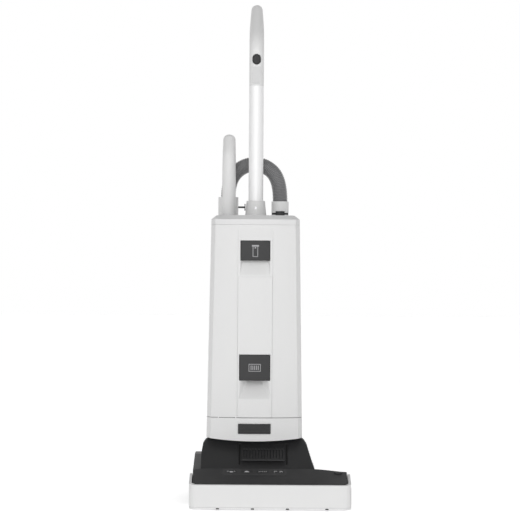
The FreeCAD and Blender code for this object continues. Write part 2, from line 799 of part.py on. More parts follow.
def motor_parts():
    y, z = D.pivot_y, D.pivot_z
    shaft = disc(y, z, D.belt_x - D.belt_wide / 2 - 1, 60, D.shaft_rad)
    node(fuse(shaft, disc(y, z, -34, 8, 24)), "motor_rotor")
    node(washer(y, z, -32, 6, 46, 25), "motor_stator")
    fan = [washer(y, z, 22, 25, 44, D.shaft_rad), washer(y, z, 22, 36, 9, D.shaft_rad)]
    for i in range(9):
        blade = doc.addObject("Part::Box", "blade")
        bind(blade, "Length", 12)
        bind(blade, "Width", 2)
        bind(blade, "Height", 34)
        turn = FreeCAD.Rotation(V(1, 0, 0), i * 40)
        shift = turn.multVec(V(0, -1, 8))
        blade.Placement = FreeCAD.Placement(V(0, 0, 0), turn)
        bind(blade, "Placement.Base.x", 24)
        bind(blade, "Placement.Base.y", y + shift.y)
        bind(blade, "Placement.Base.z", z + shift.z)
        fan.append(blade)
    node(fuse(*fan), "motor_fan")
    left = washer(y, z, -58, -50, 14, D.shaft_rad + 0.05)
    right = washer(y, z, 44, 51, 14, D.shaft_rad + 0.05)
    node(fuse(left, right), "motor_bearings")


# The bag housing.

def body_base():
    outer = housing(D.base_low - 1, D.seam - D.gap / 2)
    inner = housing(155, D.seam + 4, 3)
    half = half_at(D.base_low)
    belly = profile(
        "XZ",
        [
            (D.body_x - half - 1, 152, 7), (D.body_x + half + 1, 152),
            (D.body_x + half + 1, 201), (D.body_x - half - 1, 201),
        ],
        -60, 130,
    )
    shell = cut(common(outer, belly), inner)
    cheeks = []
    for x in (D.body_x - half + 1, D.body_x + half - 5):
        cheeks.append(around(
            [
                (D.pivot_y - 56, 153), (D.pivot_y - 24, D.pivot_z - 8), (D.pivot_y - 12, D.pivot_z - 22),
                (D.pivot_y + 12, D.pivot_z - 22), (D.pivot_y + 24, D.pivot_z - 8),
                (D.pivot_y + 30, 153),
            ],
            x, x + 4,
        ))
    holes = [
        disc(D.pivot_y, D.pivot_z, -160, 90, D.trunnion_rad),
        box(-57, 65, D.pivot_y - 31, D.pivot_y + 31, 140, 156),
        box(-126, -82, D.pivot_y - 24, 140, 140, D.seam + 1),
        box(D.body_x - 38.3, D.body_x + 38.3, -60, -44, D.window_low, D.window_high),
    ]
    return node(cut(fuse(shell, *cheeks), *holes), "body_base")


def vent_window():
    panel = box(D.body_x - 38, D.body_x + 38, -49.5, -45.5, D.window_low + 0.3,
                D.window_high - 0.3)
    slots = []
    for i in range(6):
        z = D.window_low + 3.5 + i * 3.2
        slots.append(box(D.body_x - 34, D.body_x + 34, -50, -47.5, z, z + 1.4))
    return node(cut(panel, *slots), "vent_window")


def rear_housing():
    low, high = D.seam + D.gap / 2, D.strip_top + 30
    outer = housing(low, high, 0, start=D.split_y + 0.4)
    inner = housing(low - 1, high + 1, 3, start=D.split_y - 1)
    floor = housing(low, low + 3, 2, start=D.split_y + 0.4)
    channel = common(
        housing(low, high, 0, start=D.split_y + 0.4),
        rod("z", low, high - low, 23, x=D.wand_x, y=D.wand_y),
    )
    pocket = common(
        housing(low, high, 0, start=D.split_y + 0.4),
        rod("z", D.cuff_low - 16, 20, 31, x=D.wand_x, y=D.wand_y),
    )
    sleeve = rod("z", 552, high - 552, 21, x=D.body_x, y=D.handle_y)
    rib = box(D.body_x - 4, D.body_x + 4, D.handle_y + 18, D.high_rear - 1, 552, high - 1)
    holes = [
        rod("z", 150, 560, 19, x=D.wand_x, y=D.wand_y),
        rod("z", D.cuff_low - 10, 60, 27, x=D.wand_x, y=D.wand_y),
        rod("z", 195, 16, 21, x=D.wand_x, y=D.wand_y),
        rod("z", 560, 120, D.tube_rad, x=D.body_x, y=D.handle_y),
    ]
    for i in range(5):
        holes.append(box(-8 + i * 16, i * 16, 10, 70, D.seam - 2, D.seam + 9))
    whole = fuse(cut(outer, inner), floor, channel, pocket, sleeve, rib)
    return node(cut(whole, *holes), "rear_housing")


def strip_slab(low, high, extra=0, deep=4):
    """A stretch of the middle strip, bowed like the front and standing proud of it."""
    sag = 2
    left, right = strip_left + extra, strip_right - extra
    outer = D.face_y - D.strip_proud + sag
    return profile(
        "XY",
        [
            (left, outer, sag), (right, outer), (right, outer + deep, -sag), (left, outer + deep),
        ],
        low, high,
    )


def recess(low, high, ramp, deep, wide, grow):
    """A finger recess: deepest behind its flap and running out towards the bottom."""
    face = D.face_y - 8
    back = D.face_y + deep + grow
    return around(
        [
            (face, ramp - grow), (D.face_y - 1 - grow * 0.6, ramp - grow), (back, low - grow),
            (back, high + grow), (face, high + grow),
        ],
        D.body_x - size(wide) / 2 - grow, D.body_x + size(wide) / 2 + grow,
    )


def bag_door():
    low, high = D.seam + D.gap / 2, D.strip_top + 30
    outer = housing(low, high, 0, back=D.split_y)
    inner = housing(low - 1, high + 1, 3, back=D.split_y + 1)
    ends = [
        housing(low, low + 3, 1, back=D.split_y),
        housing(high - 3, high, 1, back=D.split_y - 6),
    ]
    strip = strip_slab(D.cover_top + 0.6, D.strip_top)
    tub = cut(
        recess(D.grip_low, D.grip_high, D.ramp_low, D.grip_deep, D.grip_wide, 2.5),
        box(-100, 30, -90, D.face_y + 1.5, 500, 640),
    )
    frame = box(D.body_x - 36, D.body_x + 36, D.face_y + 3, D.face_y + 34, 354, 524)
    filter_room = box(D.body_x - 33.6, D.body_x + 33.6, D.face_y - 8, D.face_y + 31.5, 356.6,
                      521.4)
    cover_room = box(D.body_x - 34, D.body_x + 34, D.face_y - 8, D.face_y + 12, 214, 348)
    grid = [
        box(D.body_x - 28, D.body_x + 28, D.face_y + 20, D.face_y + 40, 370 + i * 24,
            382 + i * 24)
        for i in range(6)
    ]
    upper = recess(D.grip_low, D.grip_high, D.ramp_low, D.grip_deep, D.grip_wide, 0)
    lower = recess(D.badge_low, D.badge_high, D.badge_ramp, D.badge_deep, D.badge_wide, 3.2)
    seat = strip_slab(D.seam - 2, D.cover_top + 0.3, -0.4, 4.4)
    tabs = [
        box(D.body_x + side, D.body_x + side + 12, D.face_y + 7, D.face_y + 9.5, 195, low + 2)
        for side in (-54, 42)
    ]
    reach = disc(D.lip_y, D.lip_z, -200, 200, high + 0.3 - D.lip_z)
    whole = common(fuse(cut(outer, inner), *ends, strip, tub, frame, *tabs), reach)
    return node(cut(whole, upper, lower, filter_room, cover_room, seat, *grid), "bag_door")


def flap(name, low, high, wide):
    """A latch flap that hinges at its top edge, with a lip for the fingers behind it."""
    half = size(wide) / 2 - 0.4
    plate = around(
        [
            (D.face_y - 3.4, low), (D.face_y + 0.4, low), (D.face_y + 2, high - 4),
            (D.face_y + 2, high - 0.6), (D.face_y - 0.5, high - 0.6), (D.face_y - 3.4, high - 4),
        ],
        D.body_x - half, D.body_x + half,
    )
    return node(plate, name)


def filter_cover():
    slab = strip_slab(D.seam + D.gap / 2, D.cover_top)
    tub = cut(
        recess(D.badge_low, D.badge_high, D.badge_ramp, D.badge_deep, D.badge_wide, 2.5),
        box(-100, 30, -90, D.face_y + 1, 180, 400),
    )
    hollow = recess(D.badge_low, D.badge_high, D.badge_ramp, D.badge_deep, D.badge_wide, 0)
    hooks = [
        box(D.body_x + side, D.body_x + side + 6, D.face_y + 1, D.face_y + 9, 218, 224)
        for side in (-30, 24)
    ]
    return node(cut(fuse(slab, tub, *hooks), hollow), "filter_cover")


def exhaust_filter():
    block = box(D.body_x - 33, D.body_x + 33, D.face_y + 3.5, D.face_y + 31, 357, 521)
    pleats = [
        box(D.body_x - 29, D.body_x + 29, D.face_y + 2, D.face_y + 12, 362 + i * 9, 366 + i * 9)
        for i in range(17)
    ]
    return node(cut(block, *pleats), "exhaust_filter")


def door_seal():
    gasket = cut(
        housing(D.seam + 6, D.strip_top + 22, 4, back=D.split_y + 3, start=D.split_y + 0.5),
        box(D.body_x - 92, D.body_x + 92, -30, 30, D.seam + 14, D.strip_top + 14),
    )
    return node(gasket, "door_seal")


def bag_parts():
    bag = fuse(
        box(D.body_x - 78, D.body_x + 78, -8, 84, 236, 528),
    )
    node(round_block(bag), "dust_bag")
    collar = cut(
        box(D.body_x + 8, D.body_x + 88, 50, 100, 530, 534),
        rod("z", 520, 30, 17, x=D.port_x, y=D.port_y),
    )
    node(collar, "bag_collar")
    node(box(D.body_x - 12, D.body_x + 78, 4, 78, D.seam + 4, D.seam + 18), "motor_filter")


def round_block(block):
    rounded_block = doc.addObject("Part::Fillet", "rounded")
    doc.recompute()
    rounded_block.Base = block
    count = len(block.Shape.Edges)
    rounded_block.Edges = [(i + 1, 14.0, 14.0) for i in range(count)]
    return rounded_block


def top_cap():
    low = D.strip_top + 30 + D.gap / 2
    wall_block = housing(low, D.body_top - 10)
    crown = loft("XY", plan(D.body_top - 10), D.body_top - 10, plan(D.body_top, 12), D.body_top)
    inner = housing(low - 1, D.body_top - 9, 3)
    room = loft("XY", plan(D.body_top - 9.5, 3.5), D.body_top - 9.5,
                plan(D.body_top - 3, 13), D.body_top - 3)
    port = rod("z", 544, D.body_top + 4 - 544, D.port_rad, x=D.port_x, y=D.port_y)
    port_bore = rod("z", 530, 200, 17, x=D.port_x, y=D.port_y)
    notch = rod("z", 600, 100, 27, x=D.wand_x, y=D.wand_y)
    neck = rod("z", 600, 100, D.tube_rad + 0.2, x=D.body_x, y=D.handle_y)
    return node(
        cut(
            fuse(cut(fuse(wall_block, crown), inner, room), port), port_bore, notch, neck,
            button_pocket(),
        ),
        "top_cap",
    )


# Handle.

def handle_socket():
    cone = doc.addObject("Part::Cone", "cone")
    bind(cone, "Radius1", 25.5)
    bind(cone, "Radius2", 22)
    bind(cone, "Height", D.socket_top - D.body_top - 0.3)
    place(cone, D.body_x, D.handle_y, D.body_top + 0.3)
    bore = rod("z", 660, 80, D.tube_rad, x=D.body_x, y=D.handle_y)
    hole = rod("y", D.handle_y - 30, 60, 3, x=D.body_x, z=D.bolt_z)
    return node(cut(cone, bore, hole), "handle_socket")


def handle_bolt():
    shank = rod("y", D.handle_y - 22, 47, 3, x=D.body_x, z=D.bolt_z)
    head = rod("y", D.handle_y + 24.6, 5, 5.5, x=D.body_x, z=D.bolt_z)
    return node(fuse(shank, head), "handle_bolt")


def handle_tube():
    tube = pipe(D.body_x, D.handle_y, 566, D.collar_low, D.tube_rad, D.tube_rad - D.tube_wall)
    hole = rod("y", D.handle_y - 30, 60, 3, x=D.body_x, z=D.bolt_z)
    return node(cut(tube, hole), "handle_tube")


def bent_bar(x, y, low, high, lean, bend, radius, tip_radius, length):
    """A round bar: upright from low to high, then an arc backwards by lean degrees, then a
    straight that narrows to tip_radius and ends in a rounded tip."""
    x, y, low, high = (size(c).value for c in (x, y, low, high))
    radius, tip_radius, bend = (size(c).value for c in (radius, tip_radius, bend))
    length, angle = size(length).value, math.radians(size(lean).value)
    centre = V(x, y + bend, high)
    turned = centre + V(0, -math.cos(angle), math.sin(angle)) * bend
    half_way = centre + V(0, -math.cos(angle / 2), math.sin(angle / 2)) * bend
    ahead = V(0, math.sin(angle), math.cos(angle))
    tip = turned + ahead * length
    path = Part.Wire([
        Part.LineSegment(V(x, y, low), V(x, y, high)).toShape(),
        Part.Arc(V(x, y, high), half_way, turned).toShape(),
        Part.LineSegment(turned, tip).toShape(),
    ])
    sweep = Part.BRepOffsetAPI.MakePipeShell(path)
    for place_at, direction, wide in (
        (V(x, y, low), V(0, 0, 1), radius),
        (turned, ahead, radius),
        (tip, ahead, tip_radius),
    ):
        sweep.add(Part.Wire([Part.Circle(place_at, direction, wide).toShape()]))
    sweep.build()
    sweep.makeSolid()
    bar = sweep.shape()
    ends = [e for e in bar.Edges if e.BoundBox.Center.distanceToPoint(tip) < 1]
    made = doc.addObject("Part::Feature", "bar")
    made.Shape = bar.makeFillet(tip_radius * 0.8, ends)
    return made


def handle_grip():
    spigot = rod("z", 950, 40, D.tube_rad - D.tube_wall, x=D.body_x, y=D.handle_y)
    stem = bent_bar(D.body_x, D.handle_y, D.collar_low + 0.1, D.bend_z, D.grip_lean, D.grip_bend,
                    D.tube_rad, D.grip_tip_rad, D.grip_long)
    gland_boss = rod("y", D.handle_y, 34, 8, x=D.body_x, z=D.gland_z)
    label_seat = box(D.body_x - 11, D.body_x + 11, D.handle_y - 20, D.handle_y - 14.8,
                     D.label_low, D.label_high)
    switch_room = rod("y", D.handle_y - 20, 12, 10, x=D.body_x, z=D.switch_high)
    switch_slot = box(D.body_x - 10, D.body_x + 10, D.handle_y - 20, D.handle_y - 8,
                      D.switch_low, D.switch_high + 5)
    switch_low = rod("y", D.handle_y - 20, 12, 10, x=D.body_x, z=D.switch_low)
    gland_bore = rod("y", D.handle_y + 12, 30, 4.2, x=D.body_x, z=D.gland_z)
    hook_bore = rod("y", D.handle_y + 6, 20, 3.05, x=D.body_x, z=D.hook_z)
    whole = fuse(spigot, stem, gland_boss)
    return node(cut(whole, label_seat, switch_room, switch_slot, switch_low, gland_bore,
                    hook_bore), "handle_grip")


def grip_parts():
    switch = fuse(
        rod("y", D.handle_y - 17.6, 5, D.switch_rad, x=D.body_x, z=D.switch_high),
        rod("y", D.handle_y - 17.6, 5, D.switch_rad, x=D.body_x, z=D.switch_low),
        box(D.body_x - D.switch_rad, D.body_x + D.switch_rad, D.handle_y - 17.6, D.handle_y - 12.6,
            D.switch_low, D.switch_high),
    )
    node(switch, "power_switch")
    peg = rod("y", D.handle_y + 8, 15, 3, x=D.body_x, z=D.hook_z)
    half, root, reach = 7, D.handle_y + 18.9, D.handle_y + 50
    low, top = D.hook_z - 8, D.hook_z + 26
    plate = box(D.body_x - half, D.body_x + half, root, root + 5, low, low + 20)
    arm = box(D.body_x - half, D.body_x + half, root, reach, low + 16, low + 21)
    lip = box(D.body_x - half, D.body_x + half, reach - 5, reach, low + 16, top)
    node(fuse(peg, plate, arm, lip), "cord_hook_upper")
    half, level = 12, D.low_hook_z
    root = rear_at(560) + 0.6
    reach = root + 33.4
    foot = box(D.body_x - half, D.body_x + half, root, root + 4, level, level + 40)
    arm = box(D.body_x - half, D.body_x + half, root, reach, level, level + 6)
    lip = box(D.body_x - half, D.body_x + half, reach - 6, reach, level - 18, level + 6)
    node(fuse(foot, arm, lip), "cord_hook_lower")


# Hose and wand.

def front_arc(outer, inner, grow):
    """A stretch of wall round the front of the hose port."""
    half, low, high = D.button_wide / 2 + grow, D.button_low - grow, D.button_high + grow
    window = box(D.port_x - half, D.port_x + half, D.port_y - outer - 1, D.port_y, low, high)
    return common(pipe(D.port_x, D.port_y, low - 1, high + 1, outer, inner), window)


def button_pocket():
    """The room that the hose button moves in."""
    return front_arc(D.port_rad + 4, D.port_rad - 3, 0.4)


def hose_fittings():
    cuff = pipe(D.port_x, D.port_y, D.band_z + 0.5, D.socket_top, D.port_rad, D.hose_rad - 2.5)
    node(cut(cuff, button_pocket()), "hose_cuff")
    ring = pipe(D.port_x, D.port_y, D.body_top + 4.3, D.band_z + 0.2, D.port_rad - 0.8, 17)
    band = cut(ring, button_pocket())
    collar = pipe(D.port_x, D.port_y, 534.3, 543, 24, 17.5)
    socket = pipe(D.wand_x, D.wand_y, 204.3, 209, 18.8, D.wand_rad + 0.1)
    node(fuse(band, collar, socket), "duct_seals")
    node(front_arc(D.port_rad + 1.6, D.port_rad - 1.6, 0), "hose_button")


def hose_route():
    """The hose's route from its cuff, over the arch and down to the wand."""
    along = V((D.wand_x - D.port_x).value, (D.wand_y - D.port_y).value, 0)
    span = along.Length
    along.normalize()
    corner = span / 2 * math.tan(math.radians(22.5))
    crown = D.arch_z.value + span / 2
    start = V(D.port_x.value, D.port_y.value, 0)
    rises = (
        (0, D.socket_top.value), (0, D.arch_z.value + corner), (span / 2 - corner, crown),
        (span / 2 + corner, crown), (span, D.arch_z.value + corner), (span, D.cuff_top.value + 0.3),
    )
    return [start + along * u + V(0, 0, z) for u, z in rises]


def tangent_path(points):
    """Straight runs joined by tangent arcs, each as large as its two runs allow."""
    edges = []
    at = points[0]
    for before, here, after in zip(points, points[1:], points[2:]):
        into, out = here - before, after - here
        shorter = min(into.Length, out.Length)
        into.normalize()
        out.normalize()
        turn = into.getAngle(out)
        reach = shorter * 0.45
        radius = reach / math.tan(turn / 2)
        first, last = here - into * reach, here + out * reach
        toward = (out - into).normalize()
        middle = here + toward * (radius / math.cos(turn / 2) - radius)
        edges.append(Part.LineSegment(at, first).toShape())
        edges.append(Part.Arc(first, middle, last).toShape())
        at = last
        print("hose arc radius %.1f mm" % radius)
    edges.append(Part.LineSegment(at, points[-1]).toShape())
    return Part.Wire(edges)


def hose():
    path = tangent_path(hose_route())
    start = hose_route()[0]
    section = Part.Wire([Part.Circle(start, V(0, 0, 1), D.hose_rad.value).toShape()])
    shape = path.makePipeShell([section], True, False)
    expected = math.pi * D.hose_rad.value ** 2 * path.Length
    print("hose length %.1f mm, volume ratio %.4f" % (path.Length, shape.Volume / expected))
    return solid("hose", shape)


def wand():
    x, y = D.wand_x, D.wand_y
    tube = pipe(x, y, 183, D.cuff_top - 20, D.wand_rad, D.wand_rad - 1.5)
    node(tube, "wand_tube")
    node(pipe(x, y, D.cuff_low, D.cuff_top, D.cuff_rad, D.wand_rad), "wand_cuff")
    grip_y = D.handle_y + 25
    stem = bent_bar(x + 2, grip_y, 677, 816, D.wand_lean, D.wand_bend, D.wand_grip_rad,
                    D.wand_grip_rad - 1, 42)
    foot = box(x - 11, x + 15, grip_y, grip_y + 24, 678, 718)
    room = rod("z", 670, 60, D.cuff_rad + 0.05, x=x, y=y)
    node(cut(fuse(stem, foot), room), "wand_grip")
    bar = box(D.body_x - 27, D.body_x - 24, D.handle_y - 6, D.handle_y + 8, 688, 704)
    pin = rod("x", D.body_x - 42, 15.5, 2.2, y=D.handle_y + 1, z=696)
    root = box(D.body_x - 25, D.body_x - 20, D.handle_y - 3, D.handle_y + 5, 690, 702)
    socket = rod("z", 670, 60, 26, x=D.body_x, y=D.handle_y)
    node(cut(fuse(bar, pin, root), socket), "wand_retainer")


def main():
    head_chassis()
    soleplate()
    sole_screws()
    bumper()
    head_cover()
    cover_grille()
    indicator_panel()
    indicator_lenses()
    indicator_board()
    brush_roller()
    brush_bristles()
    brush_bearings()
    brush_cover()
    brush_button()
    motor_pinion()
    drive_belt()
    belt_cover()
    wheels()
    axle_pins()
    front_rollers()
    suction_duct()
    swivel_duct()
    tilt_bushes()
    foot_pedal()
    motor_housing()
    motor_parts()
    body_base()
    vent_window()
    rear_housing()
    bag_door()
    flap("bag_latch", D.grip_low, D.grip_high, D.grip_wide)
    filter_cover()
    flap("filter_latch", D.badge_low, D.badge_high, D.badge_wide)
    exhaust_filter()
    door_seal()
    bag_parts()
    top_cap()
    handle_socket()
    handle_bolt()
    handle_tube()
    handle_grip()
    grip_parts()
    hose_fittings()
    hose()
    wand()
    doc.recompute()
    export()


def export():
    """Checks every object, then writes one STEP file for each piece."""
    for thing in doc.Objects:
        if "Invalid" in thing.State or "Error" in thing.State:
            raise RuntimeError("%s failed: %s" % (thing.Label, thing.State))
    os.makedirs("parts", exist_ok=True)
    for piece in NODES:
        shape = piece.Shape
        if shape.isNull() or not shape.isValid():
            raise RuntimeError("%s has no valid shape" % piece.Label)
        shape.exportStep("parts/%s.step" % piece.Label)
    print("%d pieces" % len(NODES))


main()
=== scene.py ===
"""Looks of the upright vacuum cleaner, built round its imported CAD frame. Metres, +Z up."""
import bpy
import bmesh
import math
import random
from mathutils import Vector, Matrix


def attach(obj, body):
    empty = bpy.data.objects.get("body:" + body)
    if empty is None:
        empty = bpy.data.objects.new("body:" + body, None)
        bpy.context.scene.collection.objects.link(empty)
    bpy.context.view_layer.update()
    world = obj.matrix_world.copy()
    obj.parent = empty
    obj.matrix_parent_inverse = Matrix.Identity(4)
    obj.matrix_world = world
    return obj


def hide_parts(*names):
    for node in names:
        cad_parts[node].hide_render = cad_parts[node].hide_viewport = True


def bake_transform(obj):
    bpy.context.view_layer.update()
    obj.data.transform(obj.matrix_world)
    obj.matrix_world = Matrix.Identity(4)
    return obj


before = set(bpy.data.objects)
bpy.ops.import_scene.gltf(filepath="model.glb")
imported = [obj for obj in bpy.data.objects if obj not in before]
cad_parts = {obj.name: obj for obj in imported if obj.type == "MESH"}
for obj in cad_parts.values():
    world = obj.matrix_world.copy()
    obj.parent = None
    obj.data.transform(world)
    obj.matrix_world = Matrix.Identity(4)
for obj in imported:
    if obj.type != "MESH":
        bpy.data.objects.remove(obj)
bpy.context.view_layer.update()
MM = 0.001


def mm(x, y, z):
    """A place given in millimetres, as a vector in metres."""
    return Vector((x, y, z)) * MM


# ---------------------------------------------------------------- materials

def noise_texture(tree, where, scale, detail=2):
    texture = tree.nodes.new("ShaderNodeTexNoise")
    texture.inputs["Scale"].default_value = scale
    texture.inputs["Detail"].default_value = detail
    tree.links.new(where, texture.inputs["Vector"])
    return texture.outputs["Fac"]


def bump_from(tree, height, strength, distance):
    bump = tree.nodes.new("ShaderNodeBump")
    bump.inputs["Strength"].default_value = strength
    bump.inputs["Distance"].default_value = distance
    tree.links.new(height, bump.inputs["Height"])
    return bump


def material(name, colour, rough, grain=0.0, grain_size=0.4, variation=0.03, metallic=0.0,
             rough_spread=0.06, coat=0.0, wear=0.0, wear_colour=(0.5, 0.5, 0.5), waves=0.0,
             emission=None, sheen=0.0):
    """A moulded, metal or cloth material: colour that drifts a little, uneven gloss, a fine grain
    in millimetres, and edges rubbed paler."""
    mat = bpy.data.materials.new(name)
    mat.use_nodes = True
    tree = mat.node_tree
    nodes, links = tree.nodes, tree.links
    shader = nodes["Principled BSDF"]
    shader.inputs["Metallic"].default_value = metallic
    shader.inputs["Coat Weight"].default_value = coat
    shader.inputs["Coat Roughness"].default_value = 0.15
    shader.inputs["Sheen Weight"].default_value = sheen
    if emission:
        shader.inputs["Emission Color"].default_value = (*emission, 1)
        shader.inputs["Emission Strength"].default_value = 1.0
    where = nodes.new("ShaderNodeTexCoord").outputs["Object"]
    drift = noise_texture(tree, where, 9, 4)
    tone = nodes.new("ShaderNodeMix")
    tone.data_type = "RGBA"
    tone.inputs["A"].default_value = (*[c * (1 - variation) for c in colour], 1)
    tone.inputs["B"].default_value = (*[min(1, c * (1 + variation)) for c in colour], 1)
    links.new(drift, tone.inputs["Factor"])
    result = tone.outputs["Result"]
    if wear:
        edge = nodes.new("ShaderNodeNewGeometry")
        ramp = nodes.new("ShaderNodeValToRGB")
        ramp.color_ramp.elements[0].position = 0.56
        ramp.color_ramp.elements[1].position = 0.70
        links.new(edge.outputs["Pointiness"], ramp.inputs["Fac"])
        patches = nodes.new("ShaderNodeMath")
        patches.operation = "MULTIPLY"
        links.new(ramp.outputs["Color"], patches.inputs[0])
        patches.inputs[1].default_value = wear
        rubbed = nodes.new("ShaderNodeMix")
        rubbed.data_type = "RGBA"
        rubbed.inputs["B"].default_value = (*wear_colour, 1)
        links.new(patches.outputs[0], rubbed.inputs["Factor"])
        links.new(result, rubbed.inputs["A"])
        result = rubbed.outputs["Result"]
    links.new(result, shader.inputs["Base Color"])
    gloss = noise_texture(tree, where, 35, 5)
    spread = nodes.new("ShaderNodeMapRange")
    spread.inputs["To Min"].default_value = max(0.02, rough - rough_spread)
    spread.inputs["To Max"].default_value = min(1, rough + rough_spread)
    links.new(gloss, spread.inputs["Value"])
    links.new(spread.outputs["Result"], shader.inputs["Roughness"])
    if grain or waves:
        fine = noise_texture(tree, where, 1 / (grain_size * MM), 3)
        bump = bump_from(tree, fine, max(grain, 0.01), 0.15 * MM)
        if waves:
            slow = noise_texture(tree, where, 28)
            long_bump = bump_from(tree, slow, waves, 0.4 * MM)
            links.new(bump.outputs["Normal"], long_bump.inputs["Normal"])
            bump = long_bump
        links.new(bump.outputs["Normal"], shader.inputs["Normal"])
    return mat


LIGHT = material("light_plastic", (0.76, 0.76, 0.758), 0.42, grain=0.35, grain_size=0.5,
                 variation=0.012, waves=0.05)
# Painted shade: a slightly darker copy of the light plastic for the top cap, standing in for the
# shading on its front band.
SHADED_CAP_PLASTIC = material("cap_plastic_painted_shade", (0.745, 0.745, 0.745), 0.42, grain=0.35, grain_size=0.5,
                variation=0.015, waves=0.05)
DARK = material("charcoal_plastic", (0.016, 0.016, 0.017), 0.5, grain=0.6, grain_size=0.6,
                variation=0.10, wear=0.25, wear_colour=(0.06, 0.06, 0.062))
PANEL = material("dark_panel", (0.024, 0.024, 0.025), 0.45, grain=0.25, grain_size=0.35,
                 variation=0.06)
# Painted shade: a near-black that stands in for the shade inside the bumper's drain gaps and the
# grille slots.
SHADE_BLACK = material("painted_shade_black", (0.003, 0.003, 0.003), 0.85, grain=0.2, variation=0.1)
ICON = material("printed_icon", (0.42, 0.42, 0.43), 0.5, grain=0.2, variation=0.05)
METAL = material("anodised_tube", (0.95, 0.95, 0.952), 0.5, grain=0.15, grain_size=0.25,
                 variation=0.015, metallic=0.25, rough_spread=0.05)
STEEL = material("turned_steel", (0.56, 0.56, 0.57), 0.32, grain=0.25, grain_size=0.3,
                 variation=0.06, metallic=1.0, rough_spread=0.1)
HOSE = material("hose_plastic", (0.20, 0.20, 0.204), 0.30, grain=0.1, grain_size=0.4,
                variation=0.10, coat=0.2)
RUBBER = material("moulded_rubber", (0.022, 0.022, 0.023), 0.7, grain=0.5, grain_size=0.4,
                  variation=0.12)
TYRE = material("tyre_rubber", (0.075, 0.075, 0.078), 0.75, grain=0.8, grain_size=0.7,
                variation=0.12, wear=0.35, wear_colour=(0.16, 0.16, 0.16))
STRUCTURE = material("structure_plastic", (0.075, 0.075, 0.080), 0.5, grain=0.5,
                     grain_size=0.7, variation=0.08)
BEARING = material("bearing_plastic", (0.52, 0.52, 0.50), 0.45, grain=0.2, variation=0.04)
BRISTLE = material("nylon_bristle", (0.060, 0.060, 0.064), 0.45, grain=0.4, grain_size=0.3,
                   variation=0.25)
FLEECE = material("bag_fleece", (0.70, 0.69, 0.64), 0.95, grain=1.0, grain_size=0.8,
                  variation=0.06, sheen=0.3, waves=0.4)
FILTER = material("filter_media", (0.74, 0.76, 0.77), 0.9, grain=0.9, grain_size=0.5,
                  variation=0.04, sheen=0.2)
BOARD = material("circuit_board", (0.02, 0.13, 0.05), 0.35, grain=0.2, variation=0.1)
IRON = material("motor_iron", (0.20, 0.17, 0.15), 0.5, grain=0.6, grain_size=0.5,
                variation=0.15, metallic=0.7)
LENS = material("smoked_lens", (0.008, 0.008, 0.009), 0.42, variation=0.08)
SOLE = material("sole_sheet", (0.50, 0.50, 0.51), 0.35, grain=0.4, grain_size=0.3,
                variation=0.05, metallic=1.0, wear=0.2, wear_colour=(0.7, 0.7, 0.7))


# ---------------------------------------------------------------- mesh helpers

def lerp(a, b, t):
    return a + (b - a) * t


def full_turn(count):
    """Evenly spaced angles round a circle."""
    return [2 * math.pi * i / count for i in range(count)]


def smooth_step(t):
    t = min(1.0, max(0.0, t))
    return t * t * (3 - 2 * t)


def round_edges(piece, width, sharp):
    """Rounds the edges that turn by more than sharp degrees."""
    rounding = piece.modifiers.new("bevel", "BEVEL")
    rounding.width = width
    rounding.segments = 2
    rounding.limit_method = "ANGLE"
    rounding.angle_limit = math.radians(sharp)


def weigh_normals(piece, keep_sharp=True):
    piece.modifiers.new("normals", "WEIGHTED_NORMAL").keep_sharp = keep_sharp


def smooth_piece(name, bm, mat, sharp):
    """An object with smooth shading that breaks at edges of more than sharp degrees."""
    mesh = bpy.data.meshes.new(name)
    bm.to_mesh(mesh)
    bm.free()
    piece = bpy.data.objects.new(name, mesh)
    bpy.context.scene.collection.objects.link(piece)
    mesh.materials.append(mat)
    for polygon in mesh.polygons:
        polygon.use_smooth = True
    mesh.set_sharp_from_angle(angle=math.radians(sharp))
    return piece


def join_frame(piece, body=None, node=None, slot=None):
    """Says which body the piece rides on and which CAD node it replaces. Its slot argument is not
    used.
    """
    if body:
        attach(piece, body)
    if node:
        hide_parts(node)
    return piece


def finish_mesh(name, bm, mat, bevel=0.0, sharp=35, weld=0.0, **place):
    """Turns a bmesh into a piece with a material, rounded edges and smooth shading."""
    if weld:
        bmesh.ops.remove_doubles(bm, verts=bm.verts, dist=weld)
    bmesh.ops.recalc_face_normals(bm, faces=bm.faces)
    piece = smooth_piece(name, bm, mat, 60 if bevel else sharp)
    if bevel:
        round_edges(piece, bevel, sharp)
    weigh_normals(piece)
    return join_frame(piece, **place)


def add_rings(bm, rings, closed=True):
    """Skins a stack of rings that all have the same number of points."""
    rows = [[bm.verts.new(p) for p in ring] for ring in rings]
    count = len(rows[0])
    last = count if closed else count - 1
    for low, high in zip(rows, rows[1:]):
        for i in range(last):
            j = (i + 1) % count
            bm.faces.new((low[i], low[j], high[j], high[i]))
    return rows


def add_solid(bm, rings):
    """Skins a stack of rings and closes both of its ends."""
    rows = add_rings(bm, rings)
    bm.faces.new(list(reversed(rows[0])))
    bm.faces.new(rows[-1])


def circle(centre, radius, axis, count):
    """Points of a circle round an axis."""
    points = []
    for a in full_turn(count):
        u, v = math.cos(a) * radius, math.sin(a) * radius
        offset = {"x": (0, u, v), "y": (-u, 0, v), "z": (u, v, 0)}[axis]
        points.append(Vector(centre) + Vector(offset))
    return points


def add_turned(bm, axis, centre, profile, count=96, closed=False):
    """A turned shape: profile lists (distance along the axis, radius)."""
    along = {"x": Vector((1, 0, 0)), "y": Vector((0, 1, 0)), "z": Vector((0, 0, 1))}[axis]
    rings = []
    for distance, radius in profile:
        rings.append(circle(Vector(centre) + along * distance, max(radius, 1e-5), axis, count))
    if closed:
        rings.append(rings[0])
    add_rings(bm, rings)


def turned(name, axis, centre, profile, mat, closed=True, count=96, **kw):
    bm = bmesh.new()
    add_turned(bm, axis, centre, profile, count, closed)
    return finish_mesh(name, bm, mat, weld=1e-6, **kw)


